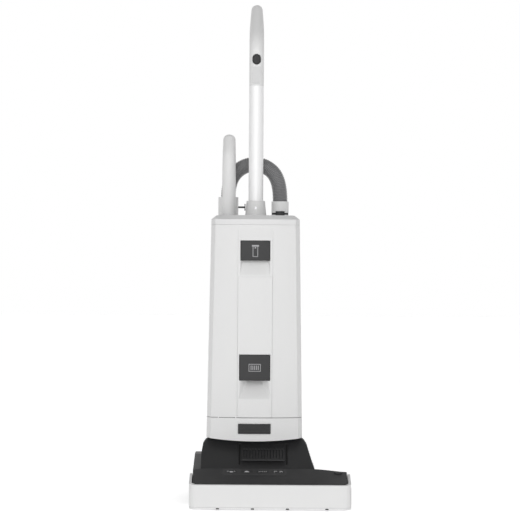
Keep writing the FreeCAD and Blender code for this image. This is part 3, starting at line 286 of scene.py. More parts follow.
def rounded_path(points, radii, arc=6):
    """A closed outline with its corners rounded."""
    result = []
    count = len(points)
    for i in range(count):
        before, here, after = (Vector(points[(i + k) % count]) for k in (-1, 0, 1))
        into, out = (before - here), (after - here)
        room = min(into.length, out.length) * 0.49
        into.normalize()
        out.normalize()
        angle = into.angle(out)
        if radii[i] <= 0 or angle > math.pi - 0.01:
            result.append(here)
            continue
        reach = min(radii[i] / math.tan(angle / 2), room)
        radius = reach * math.tan(angle / 2)
        centre = here + (into + out).normalized() * (radius / math.sin(angle / 2))
        a, b = here + into * reach - centre, here + out * reach - centre
        sweep = a.angle(b)
        for k in range(arc + 1):
            t = k / arc
            p = (a * math.sin((1 - t) * sweep) + b * math.sin(t * sweep)) / math.sin(sweep)
            result.append(centre + p)
    return result


# ---------------------------------------------------------------- camera, light and floor

def add_camera():
    data = bpy.data.cameras.new("view")
    data.sensor_width = 36
    data.lens = 122.0
    camera = bpy.data.objects.new("view", data)
    lean = math.radians(0.36)
    right = Vector((math.cos(lean), 0, math.sin(lean)))
    up = Vector((-math.sin(lean), 0, math.cos(lean)))
    back = Vector((0, -1, 0))
    camera.matrix_world = Matrix((
        (right.x, up.x, back.x, -0.0261),
        (right.y, up.y, back.y, -4.175),
        (right.z, up.z, back.z, 0.5697),
        (0, 0, 0, 1),
    ))
    data.clip_end = 60
    bpy.context.scene.collection.objects.link(camera)
    bpy.context.scene.camera = camera


def add_light(name, place, aim_z, wide, tall, power):
    """A softbox that faces the object's middle at the height aim_z."""
    data = bpy.data.lights.new(name, "AREA")
    data.shape = "RECTANGLE"
    data.size = wide
    data.size_y = tall
    data.energy = power
    lamp = bpy.data.objects.new(name, data)
    lamp.location = place
    aim = Vector((0, 0, aim_z)) - Vector(place)
    lamp.rotation_euler = aim.to_track_quat("-Z", "Y").to_euler()
    bpy.context.scene.collection.objects.link(lamp)


def add_world():
    """A light tent: white in front of and behind the object, dimmer at its sides, above and below."""
    world = bpy.data.worlds.new("studio")
    bpy.context.scene.world = world
    world.use_nodes = True
    nodes, links = world.node_tree.nodes, world.node_tree.links
    background = nodes["Background"]
    background.inputs["Color"].default_value = (1, 1, 1, 1)
    split = nodes.new("ShaderNodeSeparateXYZ")
    links.new(nodes.new("ShaderNodeTexCoord").outputs["Generated"], split.inputs["Vector"])
    depth = nodes.new("ShaderNodeMath")
    depth.operation = "ABSOLUTE"
    links.new(split.outputs["Y"], depth.inputs[0])
    level = nodes.new("ShaderNodeMapRange")
    level.interpolation_type = "SMOOTHSTEP"
    level.inputs["From Min"].default_value = 0.35
    level.inputs["From Max"].default_value = 0.95
    level.inputs["To Min"].default_value = TENT_SIDE
    level.inputs["To Max"].default_value = TENT_FRONT
    links.new(depth.outputs[0], level.inputs["Value"])
    seen = nodes.new("ShaderNodeMix")
    links.new(nodes.new("ShaderNodeLightPath").outputs["Is Camera Ray"], seen.inputs["Factor"])
    links.new(level.outputs["Result"], seen.inputs["A"])
    seen.inputs["B"].default_value = 1.0
    links.new(seen.outputs["Result"], background.inputs["Strength"])


def add_stage():
    add_world()
    add_light("front_softbox", (-0.3, -3.2, 1.5), 0.55, 2.2, 2.2, KEY_POWER)
    add_light("left_softbox", (-2.6, -0.6, 1.3), 0.5, 1.4, 2.0, SIDE_POWER)
    add_light("right_softbox", (2.6, -0.6, 1.3), 0.5, 1.4, 2.0, SIDE_POWER)
    add_light("top_softbox", (0, 0.3, 3.2), 0.5, 2.0, 2.0, TOP_POWER)
    add_light("back_softbox", (0.3, 3.4, 1.6), 0.6, 2.0, 2.0, BACK_POWER)
    bm = bmesh.new()
    half, level, steps = 14.0, -0.0005, 8
    lines = [lerp(-half, half, k / steps) for k in range(steps + 1)]
    add_rings(bm, [[Vector((x, y, level)) for x in lines] for y in lines], closed=False)
    floor_mat = material("studio_floor", (0.93, 0.93, 0.93), 0.8, grain=0.1, grain_size=3,
                         variation=0.01, emission=(0.58, 0.58, 0.58))
    finish_mesh("floor", bm, floor_mat)


TENT_SIDE = 0.26
TENT_FRONT = 0.95
KEY_POWER = 19
SIDE_POWER = 0.5
TOP_POWER = 3
BACK_POWER = 2
bpy.context.scene.view_settings.view_transform = "Standard"
add_camera()
add_stage()


# ---------------------------------------------------------------- materials and edges of the CAD nodes

NODE_MATERIALS = {
    LIGHT: "bumper body_base rear_housing bag_door filter_cover handle_socket "
           "handle_grip hose_cuff wand_cuff wand_grip",
    SHADED_CAP_PLASTIC: "top_cap",
    METAL: "handle_tube",
    DARK: "head_cover cover_grille belt_cover brush_button foot_pedal cord_hook_upper "
          "cord_hook_lower power_switch wand_retainer brush_cover wheel_hub_left "
          "wheel_hub_right wand_tube hose_button",
    PANEL: "vent_window bag_latch filter_latch indicator_panel",
    LENS: "indicator_lenses",
    BOARD: "indicator_board",
    STRUCTURE: "head_chassis suction_duct swivel_duct motor_housing bag_collar motor_fan",
    SOLE: "soleplate",
    STEEL: "sole_screws motor_pinion axle_pins motor_rotor handle_bolt",
    BEARING: "brush_bearings motor_bearings tilt_bushes front_rollers",
    RUBBER: "drive_belt door_seal duct_seals hose",
    TYRE: "wheel_tyre_left wheel_tyre_right",
    BRISTLE: "brush_bristles brush_roller",
    IRON: "motor_stator",
    FLEECE: "dust_bag",
    FILTER: "exhaust_filter motor_filter",
}


PLAIN_NODES = ("hose", "dust_bag", "exhaust_filter", "motor_filter", "door_seal", "duct_seals")
NODE_ROUNDING = 0.7 * MM


def dress_nodes():
    for mat, names in NODE_MATERIALS.items():
        for name in names.split():
            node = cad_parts[name]
            if not node.material_slots:
                node.data.materials.append(mat)
            for entry in node.material_slots:
                entry.material = mat
            if name not in PLAIN_NODES:
                round_edges(node, NODE_ROUNDING, 38)
                weigh_normals(node)


dress_nodes()


# ---------------------------------------------------------------- hose

HOSE_ROUTE = (
    (0.0215, 0.080, 0.711), (0.0215, 0.080, 0.76298), (-0.01526, 0.09025, 0.80115),
    (-0.06724, 0.10475, 0.80115), (-0.104, 0.115, 0.76298), (-0.104, 0.115, 0.7223),
)
HOSE_RADIUS = 18.2 * MM
RIB_PITCH = 3.8 * MM
RIB_HEIGHT = 1.5 * MM


def spline_points(route):
    """Closely spaced points of the smooth NURBS line that has these control points."""
    data = bpy.data.curves.new("route", "CURVE")
    data.dimensions = "3D"
    data.resolution_u = 40
    spline = data.splines.new("NURBS")
    spline.points.add(len(route) - 1)
    for point, place in zip(spline.points, route):
        point.co = (*place, 1)
    spline.order_u = 3
    spline.use_endpoint_u = True
    carrier = bpy.data.objects.new("route", data)
    bpy.context.scene.collection.objects.link(carrier)
    bpy.context.view_layer.update()
    mesh = bpy.data.meshes.new_from_object(carrier)
    points = [v.co.copy() for v in mesh.vertices]
    bpy.data.objects.remove(carrier)
    bpy.data.meshes.remove(mesh)
    return points


def line_length(points):
    return sum((b - a).length for a, b in zip(points, points[1:]))


def add_hose():
    path = spline_points(HOSE_ROUTE)
    length = line_length(path)
    tuck = 4 * MM
    line = [path[0] + Vector((0, 0, -tuck))] + path + [path[-1] + Vector((0, 0, -tuck))]
    whole = line_length(line)
    marks = [0.0]
    for a, b in zip(line, line[1:]):
        marks.append(marks[-1] + (b - a).length)
    ribs = round(whole / RIB_PITCH)
    per_rib = 6
    bm = bmesh.new()
    rings = []
    side = Vector((0, 1, 0))
    leg = 0
    for k in range(ribs * per_rib + 1):
        distance = whole * k / (ribs * per_rib)
        while leg < len(marks) - 2 and marks[leg + 1] < distance:
            leg += 1
        t = (distance - marks[leg]) / (marks[leg + 1] - marks[leg])
        centre = line[leg].lerp(line[leg + 1], t)
        ahead = line[min(leg + 2, len(line) - 1)] - line[max(leg - 1, 0)]
        ahead.normalize()
        side = (side - ahead * side.dot(ahead)).normalized()
        other = ahead.cross(side)
        phase = 2 * math.pi * (k % per_rib) / per_rib
        radius = HOSE_RADIUS - RIB_HEIGHT * (0.5 - 0.5 * math.cos(phase)) ** 1.5
        rings.append([centre + side * math.cos(a) * radius + other * math.sin(a) * radius
                      for a in full_turn(72)])
    add_rings(bm, rings)
    hose = finish_mesh("ribbed_hose", bm, HOSE, sharp=70, node="hose", slot="hose_plastic")
    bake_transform(hose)


add_hose()


# ---------------------------------------------------------------- housing shells, in millimetres

BODY_X = -37.0
SEAM = 200.6
DOOR_TOP = 652.25
SPLIT_Y = -10.0
FACE_Y = -50.0
BOW = 13.0
FACET = (10.0, 18.0)
STRIP_HALF = 40.5
STRIP_PROUD = 2.5
STRIP_TOP = 622.0
COVER_TOP = 530.0
ROOM = (33.6, 356.6, 521.4, -18.5)
UPPER = {"half": 35.3, "low": 568.0, "high": 615.0, "ramp": 533.0, "back": -40.5, "narrow": 29.3}
LOWER = {"half": 36.8, "low": 287.0, "high": 348.0, "ramp": 243.0, "back": -26.2, "narrow": 14.0}
STEP = 0.1
SHELL_SHARP = 50


def half_at(z):
    return 113 - 9 * (z - 146) / 529


def front_y(dx, z):
    """The bowed front face: how far forward it is dx to the side of the middle."""
    return FACE_Y + BOW * (dx / (half_at(z) - FACET[0])) ** 2


def clamp(t):
    return min(1.0, max(0.0, t))


def soft_corner(before, corner, after, reach, steps=4):
    """Points that round a corner of an outline."""
    a = corner + (before - corner).normalized() * reach
    b = corner + (after - corner).normalized() * reach
    return [a.lerp(corner, t).lerp(corner.lerp(b, t), t)
            for t in (k / steps for k in range(steps + 1))]


def flank_points(z, back):
    """The side wall and corner facet, from the back forwards, as (dx, y) on the right."""
    half = half_at(z)
    chord = half - FACET[0]
    edge_y = FACE_Y + BOW
    wall = Vector((half, back))
    rear_corner = Vector((half, edge_y + FACET[1]))
    front_corner = Vector((chord, edge_y))
    inside = Vector((chord - 10, front_y(chord - 10, z)))
    return ([wall, wall.lerp(rear_corner, 0.5)]
            + soft_corner(wall, rear_corner, front_corner, 2.4)
            + soft_corner(rear_corner, front_corner, inside, 1.8))


def recess_y(dx, z, room, surface):
    """The depth of a finger recess whose floor narrows as it runs in behind its flap."""
    side = abs(dx)
    if side > room["half"] or z < room["ramp"] or z > room["high"] + 0.4:
        return surface
    if z > room["low"]:
        return room["back"] if side < room["half"] - STEP else surface
    t = clamp((z - room["ramp"]) / (room["low"] - room["ramp"]))
    floor = lerp(surface, room["back"], t ** 1.15)
    narrow = lerp(room["half"] - 0.3, room["narrow"], t)
    return lerp(surface, floor, smooth_step((room["half"] - side) / (room["half"] - narrow)))


def strip_y(dx, z):
    return front_y(dx, z) - STRIP_PROUD


def door_y(dx, z):
    side, surface = abs(dx), front_y(dx, z)
    if side > STRIP_HALF + 0.3 or z > STRIP_TOP + 24:
        return surface
    if z < COVER_TOP + 0.1:
        seat = strip_y(dx, z) + 4.7
        if side > STRIP_HALF - 0.1:
            return surface
        if side < LOWER["half"] + 1.7 and LOWER["ramp"] - 4 < z < LOWER["high"] + 3:
            seat = LOWER["back"] + 3.0
        if side < ROOM[0] and ROOM[1] < z < ROOM[2]:
            seat = ROOM[3]
        return seat
    rise = clamp((STRIP_HALF + 0.3 - side) / 0.5) * smooth_step((STRIP_TOP + 24 - z) / 30)
    return recess_y(dx, z, UPPER, surface - STRIP_PROUD * rise)


def spread(low, high, pitch):
    count = max(1, round((high - low) / pitch))
    return [lerp(low, high, k / count) for k in range(count + 1)]


def both_sides(marks):
    return sorted({round(-m, 4) for m in marks} | {round(m, 4) for m in marks})


def height_skin(columns, rows, depth, flanks=None):
    """A skin over columns and rows. flanks gives the points that go round to the sides."""
    bm = bmesh.new()
    rings = []
    for z in rows:
        row = [(dx, depth(dx, z)) for dx in columns]
        if flanks:
            turn = flanks(z)
            inner = [lerp(columns[-1], turn[-1].x, t) for t in (0.2, 0.4, 0.6, 0.8)]
            row += [(dx, depth(dx, z)) for dx in inner] + [tuple(p) for p in reversed(turn)]
            row = ([(-p.x, p.y) for p in turn]
                   + [(-dx, depth(-dx, z)) for dx in reversed(inner)] + row)
        rings.append([mm(BODY_X + dx, y, z) for dx, y in row])
    add_rings(bm, rings, closed=False)
    return bm


def thicken(piece, thickness):
    """Gives a skin its wall, inwards."""
    wall = piece.modifiers.new("wall", "SOLIDIFY")
    wall.thickness = thickness * MM
    wall.offset = -1
    wall.use_rim = True


def face_outwards(bm, centre):
    """Points a skin's faces away from a centre."""
    bm.normal_update()
    total = sum(f.normal.dot(f.calc_center_median() - centre) * f.calc_area() for f in bm.faces)
    if total < 0:
        bmesh.ops.reverse_faces(bm, faces=bm.faces)


def skin_piece(name, bm, centre_z, thickness, body, node):
    """A light shell of the housing, made from its outer skin."""
    face_outwards(bm, Vector((BODY_X * MM, 0.05, centre_z)))
    piece = smooth_piece(name, bm, LIGHT, SHELL_SHARP)
    thicken(piece, thickness)
    round_edges(piece, 0.35 * MM, SHELL_SHARP)
    weigh_normals(piece, False)
    join_frame(piece, body, node, "shell_light")


def add_door():
    inside = spread(0, 34.5, 1.5)
    columns = both_sides(inside + [
        33.55, 33.65, UPPER["half"] - STEP, UPPER["half"], 36.8, 38.45, 38.55, 39.7, 40.1,
        STRIP_HALF - 0.15, STRIP_HALF - 0.05, STRIP_HALF + 0.35,
    ])
    rows = [SEAM, SEAM + 0.8, 214, 238.95, 239.05, 295, 350.95, 351.05, 356.55, 356.65]
    rows += spread(362, 516, 22) + [521.35, 521.45, 526, 530.05, 530.15, 531.2]
    rows += spread(533, 567.9, 1.4) + [568.0, 568.1, 592, 615.3, 615.45, 618, 622]
    rows += [626, 634, 642, 648, 651, DOOR_TOP]
    bm = height_skin(columns, rows, door_y, lambda z: flank_points(z, SPLIT_Y - 0.2))
    skin_piece("dust_bag_door", bm, 0.42, 2.6, "door", "bag_door")


def add_filter_cover():
    edge = STRIP_HALF - 0.35
    inside = spread(0, 36.0, 1.5)
    columns = both_sides(inside + [LOWER["half"] - STEP, LOWER["half"], 38, 39.3, 39.9, edge])
    rows = [SEAM + 0.3, 201.6, 215, 230, 240]
    rows += spread(243, 286.9, 1.4) + [287.0, 287.1, 318, 348.3, 348.45, 352, 380, 420, 460, 500]
    rows += [520, 528, 529.3, COVER_TOP - 0.1]

    def depth(dx, z):
        return recess_y(dx, z, LOWER, strip_y(dx, z))

    bm = height_skin(columns, rows, depth)
    skin_piece("exhaust_filter_cover", bm, 0.37, 2.2, "filter_hatch", "filter_cover")


def finer(outline, pitch):
    """A closed outline with points at most about pitch apart."""
    points = []
    for a, b in zip(outline, outline[1:] + outline[:1]):
        steps = max(1, round((b - a).length / pitch))
        points += [a.lerp(b, k / steps) for k in range(steps)]
    return points


def add_flap(name, room, body, node, marks):
    """A dark latch flap with rounded corners, crowned like the front, and its raised mark."""
    half, low, high = room["half"] - 0.5, room["low"] + 0.2, room["high"] - 0.2
    middle = (low + high) / 2
    tall = (high - low) / 2
    corner = 4.0
    outline = rounded_path([(-half, -tall), (half, -tall), (half, tall), (-half, tall)],
                           [2.0, 2.0, corner, corner], 6)
    edge_points = finer(outline, 6)

    def front(dx):
        return FLAP_Y + 2.0 * (dx / STRIP_HALF) ** 2

    bm = bmesh.new()
    rings = []
    for scale, back in ((0.02, 0), (0.35, 0), (0.7, 0), (0.93, 0), (0.975, 0.12), (0.993, 0.5),
                        (1.0, 1.1), (1.0, 3.0), (0.97, 3.4), (0.5, 3.4), (0.02, 3.4)):
        ring = []
        for p in edge_points:
            dx, dz = p.x * scale, p.y * scale
            if 0.9 < scale < 1:
                dx = p.x - math.copysign(min(abs(p.x), (1 - scale) * 40), p.x)
                dz = p.y - math.copysign(min(abs(p.y), (1 - scale) * 40), p.y)
            ring.append(mm(BODY_X + dx, front(dx) + back, middle + dz))
        rings.append(ring)
    add_solid(bm, rings)
    finish_mesh(name, bm, PANEL, sharp=60, body=body, node=node, slot="dark_plastic")
    bm = bmesh.new()
    for x0, x1, z0, z1 in marks:
        steps = max(1, round(abs(x1 - x0) / 3))
        rings = []
        for k in range(steps + 1):
            dx = lerp(x0, x1, k / steps)
            y = front(dx)
            rings.append([mm(BODY_X + dx, y + out, middle + z) for out, z in
                          ((0.3, z0), (-0.22, z0), (-0.3, z0 + 0.1),
                           (-0.3, z1 - 0.1), (-0.22, z1), (0.3, z1))])
        add_solid(bm, rings)
    finish_mesh(name + "_mark", bm, ICON, sharp=40, body=body, slot="dark_plastic")


FLAP_Y = -53.25
BAG_MARK = (
    (-6.2, -4.9, -13.5, 10), (4.9, 6.2, -13.5, 10), (-6.2, 6.2, -14.4, -13.2),
    (-8.2, 8.2, 9.6, 13.2), (-1.6, 1.6, 5.2, 8.2),
)
FILTER_MARK = tuple(
    [(-14, 14, 7.6, 8.8), (-14, 14, -8.8, -7.6), (-14, -12.8, -8.8, 8.8), (12.8, 14, -8.8, 8.8)]
    + [(x - 0.9, x + 0.9, -5.2, 5.2) for x in (-8.4, -4.2, 0, 4.2, 8.4)]
)

add_door()
add_filter_cover()
add_flap("bag_door_flap", UPPER, "door_latch", "bag_latch", BAG_MARK)
add_flap("filter_cover_flap", LOWER, "filter_flap", "filter_latch", FILTER_MARK)


# ---------------------------------------------------------------- handle grip and base trim

TUBE_Y = 53.0
TUBE_RAD = 17.5
TIP_RAD = 13.9
GRIP_COUNT = 144
GRIP_LOW, GRIP_BEND_Z = 987.1, 1070
GRIP_LEAN, GRIP_BEND, GRIP_STRAIGHT = 40, 60, 90
SWITCH_LOW, SWITCH_HIGH = 1047, 1052
SWITCH_RAD, POCKET_RAD, POCKET_Y = 9.4, 10.1, 42.6
LABEL_LOW, LABEL_HIGH, LABEL_HALF = 991, 1033, 10.9
FLAT_TOP = 1076


def bent_line(x, y, low, high, lean, bend, straight, pitch):
    """Centres and directions along a bar that runs up, then leans back."""
    angle = math.radians(lean)
    places = [(Vector((x, y, z)), Vector((0, 0, 1))) for z in spread(low, high, pitch)]
    for k in range(1, 15):
        a = angle * k / 14
        centre = Vector((x, y + bend * (1 - math.cos(a)), high + bend * math.sin(a)))
        places.append((centre, Vector((0, math.sin(a), math.cos(a)))))
    end, ahead = places[-1]
    for step in spread(0, straight, pitch)[1:]:
        places.append((end + ahead * step, ahead))
    return places


def bar_rings(places, radius_at, dent):
    """Rings round a bent bar. radius_at takes the share of the length; dent moves a point."""
    total = len(places) - 1
    rings = []
    for k, (centre, ahead) in enumerate(places):
        side = Vector((1, 0, 0))
        front = ahead.cross(side) * -1
        radius = radius_at(k / total)
        ring = []
        for a in full_turn(GRIP_COUNT):
            point = centre + side * math.cos(a) * radius + front * math.sin(a) * radius
            ring.append(dent(point, centre) * MM)
        rings.append(ring)
    return rings


def tip_rings(centre, ahead, radius, steps=8):
    """A rounded end."""
    side = Vector((1, 0, 0))
    front = ahead.cross(side) * -1
    rings = []
    for k in range(1, steps + 1):
        a = 0.5 * math.pi * k / steps
        r = max(radius * math.cos(a), 0.02)
        middle = centre + ahead * radius * math.sin(a)
        rings.append([(middle + side * math.cos(b) * r + front * math.sin(b) * r) * MM
                      for b in full_turn(GRIP_COUNT)])
    return rings


def switch_gap(point):
    """How far outside the oval switch pocket a point of the grip's front is."""
    z = min(max(point.z, SWITCH_LOW), SWITCH_HIGH)
    return math.hypot(point.x - BODY_X, point.z - z) - POCKET_RAD


def grip_dent(point, centre):
    """Presses the label seat and the switch pocket into the front of the grip."""
    if point.y > centre.y:
        return point
    side = abs(point.x - BODY_X)
    if switch_gap(point) < 0:
        return Vector((point.x, max(point.y, POCKET_Y), point.z))
    if side < LABEL_HALF and LABEL_LOW < point.z < LABEL_HIGH:
        return Vector((point.x, max(point.y, 38.1), point.z))
    if side < LABEL_HALF and LABEL_HIGH <= point.z < FLAT_TOP:
        fade = smooth_step((FLAT_TOP - point.z) / 8)
        return Vector((point.x, lerp(point.y, max(point.y, 36.6), fade), point.z))
    return point


def add_grip():
    places = bent_line(BODY_X, TUBE_Y, GRIP_LOW, GRIP_BEND_Z, GRIP_LEAN, GRIP_BEND,
                       GRIP_STRAIGHT, 0.75)

    def radius_at(share):
        taper_from = 0.56
        return lerp(TUBE_RAD, TIP_RAD, clamp((share - taper_from) / (1 - taper_from)) ** 1.3)

    rings = bar_rings(places, radius_at, grip_dent)
    end, ahead = places[-1]
    rings += tip_rings(end, ahead, TIP_RAD)
    low = places[0][0]
    first = [[(low + Vector((math.cos(a), -math.sin(a), 0)) * r) * MM for a in
              full_turn(GRIP_COUNT)] for r in (15.6, TUBE_RAD - 0.5)]
    rings[0] = [p + Vector((0, 0, 0.4 * MM)) for p in rings[0]]
    bm = bmesh.new()
    add_solid(bm, first + rings)
    finish_mesh("handle_grip_shell", bm, LIGHT, sharp=50, body="housing", node="handle_grip",
                slot="shell_light")
    gland = [(0, 9.2), (0, 10.4), (1.2, 10.8), (3, 9.6), (9, 8.6), (17.2, 7.4), (18.2, 6.6),
             (18.2, 4.4), (2, 4.2), (0, 4.2)]
    turned("cord_gland", "y", mm(BODY_X, 69.2, 1048),
           [(a * MM, r * MM) for a, r in gland], RUBBER, count=48, body="housing",
           slot="rubber_black")
    bm = bmesh.new()
    add_rings(bm, [[mm(BODY_X + x, y, z) for x in spread(-10.2, 10.2, 1.7)]
                   for z, y in ((991.8, 38.6), (992.0, 37.9), (1012, 37.9), (1032, 37.9),
                                (1032.2, 38.6))], closed=False)
    finish_mesh("grip_label_seat", bm, SEAT, sharp=60, body="housing", slot="shell_light")


def add_switch():
    bm = bmesh.new()
    rings = []
    for grow, y in ((-9.3, 35.1), (-6, 35.15), (-2.5, 35.35), (-0.9, 35.75), (-0.25, 36.4),
                    (0, 37.2), (0, 38.4), (-1.6, 39.8)):
        radius = SWITCH_RAD + grow
        ring = []
        for k in range(48):
            a = 2 * math.pi * (k + 0.5) / 48
            z = SWITCH_HIGH if math.sin(a) > 0 else SWITCH_LOW
            wide = radius if grow > -9 else 0.1
            ring.append(mm(BODY_X + math.cos(a) * wide, y, z + math.sin(a) * wide))
        rings.append(ring)
    add_solid(bm, rings)
    finish_mesh("rocker_switch", bm, DARK, sharp=60, body="switch", node="power_switch",
                slot="dark_plastic")


def add_frame(name, x0, x1, z0, z1, wide, proud, corner, y_at, mat, body, slot):
    """A raised rim round a window in the front of the housing."""
    path = rounded_path([(x0, z0), (x1, z0), (x1, z1), (x0, z1)], [corner] * 4, 8)
    centre = Vector(((x0 + x1) / 2, (z0 + z1) / 2))
    rings = []
    fine = finer(path, 4)
    count = len(fine)
    for i, p in enumerate(fine):
        along = (fine[(i + 1) % count] - fine[i - 1]).normalized()
        out = Vector((along.y, -along.x))
        if out.dot(p - centre) < 0:
            out = -out
        ring = []
        for share, lift in ((0, -1.2), (0, 0.35), (0.18, 0.85), (0.5, 1.0), (0.82, 0.7), (1, 0.1),
                            (1, -1.2)):
            q = p + out * wide * share
            ring.append(mm(q.x, y_at(q.x - BODY_X) - lift * proud, q.y))
        rings.append(ring)
    rings.append(rings[0])
    bm = bmesh.new()
    add_rings(bm, rings)
    finish_mesh(name, bm, mat, sharp=60, body=body, slot=slot, weld=1e-7)


SEAT = material("label_seat", (0.66, 0.66, 0.66), 0.5, grain=0.2, variation=0.02)
add_grip()
add_switch()
add_frame("vent_window_rim", BODY_X - 38.3, BODY_X + 38.3, 161.8, 186.2, 2.4, 1.3, 2.6,
          lambda dx: front_y(dx, 172), LIGHT, "housing", "shell_light")


# ---------------------------------------------------------------- floor head cover

DECK_FRONT, DECK_BACK, DECK_TAIL = -168.0, -108.0, -95.0
COVER_LEFT, COVER_RIGHT = -176.0, 177.0
HUMP_REAR = 9.8
RIGHT_FLANK = ((76, 148.6), (80, 146), (86.7, 136), (93, 115.5), (99, 97), (105.5, 80), (108, 70))
LEFT_FLANK = ((-160.7, 74), (-160.4, 118), (-158, 137), (-152, 146), (-146, 148.6))
SLOTS = (-71.0, 39.0)
SLOT_FRONT, SLOT_BACK, SLOT_DEEP = -84, -30, 7
COVER_FOOT = 56.7
COVER_SHARP = 32


def between(points, x):
    """A piecewise-linear profile."""
    if x <= points[0][0]:
        return points[0][1]
    for (x0, z0), (x1, z1) in zip(points, points[1:]):
        if x <= x1:
            return lerp(z0, z1, (x - x0) / (x1 - x0))
    return points[-1][1]


def soft_min(a, b, blend):
    h = clamp(0.5 + 0.5 * (b - a) / blend)
    return lerp(b, a, h) - blend * h * (1 - h)


def deck_z(x, y):
    rise = lerp(60, 88, clamp((y - DECK_FRONT) / (DECK_BACK - DECK_FRONT)))
    if y > DECK_BACK:
        rise = lerp(88, 82, (y - DECK_BACK) / (DECK_TAIL - DECK_BACK))
    share = clamp((y - DECK_FRONT) / 60)
    rise -= 6.5 * smooth_step((x - 96) / 90) * share
    rise -= 2.5 * smooth_step((-150 - x) / 26) * share
    return rise


def hump_z(x, y):
    belly = 145 + 7 * ((x - BODY_X) / 113) ** 2 - 2.4
    top = min(belly, between(LEFT_FLANK, x), between(RIGHT_FLANK, x))
    slope = 74 + (y + 110) * 67 / 84
    return soft_min(slope, top, 5)


def cover_z(x, y):
    deck = deck_z(x, y) if y <= DECK_TAIL + 0.01 else -1e3
    inside = LEFT_FLANK[0][0] <= x <= RIGHT_FLANK[-1][0] and y >= -110
    hump = hump_z(x, y) if inside else -1e3
    z = max(deck, hump)
    for slot_x in SLOTS:
        if abs(x - slot_x) < 2 and SLOT_FRONT < y < SLOT_BACK:
            z -= SLOT_DEEP
    if z < 0:
        return None
    return z


def cover_columns():
    marks = [COVER_LEFT, COVER_LEFT + 0.8, COVER_LEFT + 2.5] + spread(-172, -162, 2.5)
    marks += [-160.75, -160.65, -160.4, -160, -159, -157.5, -155, -152.5, -150, -147.5, -145]
    marks += spread(-141, 68, 4) + spread(70, 110, 1.6) + spread(112, 174, 4)
    marks += [COVER_RIGHT - 1, COVER_RIGHT]
    for x in SLOTS:
        marks += [x - 2.05, x - 1.95, x + 1.95, x + 2.05]
    return sorted(set(round(m, 3) for m in marks))


def add_head_cover():
    columns = cover_columns()
    rows = [DECK_FRONT, DECK_FRONT + 0.7] + spread(-166, -110, 3.5) + [-108, -106, -102, -98]
    rows += [DECK_TAIL, DECK_TAIL + 0.1] + spread(-93, -85, 2.5) + [-84.05, -83.95]
    rows += spread(-81, -31, 2.5) + [-30.05, -29.95, -27] + spread(-25, 8, 3) + [HUMP_REAR]
    corner = 10.0
    grid = {}
    bm = bmesh.new()
    for i, x in enumerate(columns):
        for j, y in enumerate(rows):
            z = cover_z(x, y)
            if z is None:
                continue
            near = min(x - COVER_LEFT, COVER_RIGHT - x)
            front = DECK_FRONT + corner * (1 - math.sqrt(max(0, 1 - (1 - clamp(near / corner)) ** 2)))
            place_y = max(y, front) if y < DECK_FRONT + corner + 1 else y
            z = cover_z(x, place_y)
            grid[i, j] = bm.verts.new(mm(x, place_y, z))
    for i in range(len(columns) - 1):
        for j in range(len(rows) - 1):
            keys = ((i, j), (i + 1, j), (i + 1, j + 1), (i, j + 1))
            if all(k in grid for k in keys):
                verts = [grid[k] for k in keys]
                high = [v.co.z for v in verts]
                if rows[j] >= DECK_TAIL and min(high) < 0.06:
                    continue
                bm.faces.new(verts)
    skirt = [grid[i, 0] for i in range(len(columns))]
    low = [bm.verts.new((v.co.x, v.co.y, COVER_FOOT * MM)) for v in skirt]
    for a, b, c, d in zip(skirt, skirt[1:], low[1:], low):
        bm.faces.new((b, a, d, c))
    for end in (0, len(columns) - 1):
        tops = [grid[end, j] for j in range(len(rows)) if rows[j] <= DECK_TAIL + 0.01]
        feet = [low[end]] + [bm.verts.new((v.co.x, v.co.y, COVER_FOOT * MM)) for v in tops[1:]]
        for a, b, c, d in zip(tops, tops[1:], feet[1:], feet):
            bm.faces.new((a, b, c, d) if end else (b, a, d, c))
    flank_cols = [i for i, x in enumerate(columns) if -160.75 < x < RIGHT_FLANK[-1][0]]
    rear = [grid[i, len(rows) - 1] for i in flank_cols if (i, len(rows) - 1) in grid]
    rear_low = [bm.verts.new((v.co.x, v.co.y, min(v.co.z, 0.1))) for v in rear]
    for a, b, c, d in zip(rear, rear[1:], rear_low[1:], rear_low):
        bm.faces.new((a, b, c, d))
    bmesh.ops.remove_doubles(bm, verts=bm.verts, dist=1e-6)
    bmesh.ops.dissolve_degenerate(bm, dist=1e-6, edges=bm.edges)
    bmesh.ops.recalc_face_normals(bm, faces=bm.faces)
    up = sum(f.normal.z * f.calc_area() for f in bm.faces)
    if up < 0:
        bmesh.ops.reverse_faces(bm, faces=bm.faces)
    piece = smooth_piece("head_cover_shell", bm, DARK, COVER_SHARP)
    thicken(piece, 2.4)
    round_edges(piece, 0.9 * MM, COVER_SHARP)
    join_frame(piece, "head", "head_cover", "dark_plastic")


def deck_point(x, y, lift):
    """A point that stands lift above the deck's slope."""
    slope = Vector((0, 60, 28)).normalized()
    normal = Vector((0, -slope.z, slope.y))
    return (Vector((x, y, deck_z(x, y))) + normal * lift) * MM


def add_patch(bm, outline, lift, sink=0.4):
    """A thin raised shape on the deck: outline is in (x, y) on the slope."""
    top = [bm.verts.new(deck_point(x, y, lift)) for x, y in outline]
    foot = [bm.verts.new(deck_point(x, y, lift - sink)) for x, y in outline]
    bm.faces.new(top)
    count = len(top)
    for i in range(count):
        j = (i + 1) % count
        bm.faces.new((top[j], top[i], foot[i], foot[j]))


def oval(x, y, wide, tall, steps=16):
    return [(x + wide * math.cos(a), y + tall * math.sin(a)) for a in full_turn(steps)]


def block(x0, x1, y0, y1):
    return [(x0, y0), (x1, y0), (x1, y1), (x0, y1)]


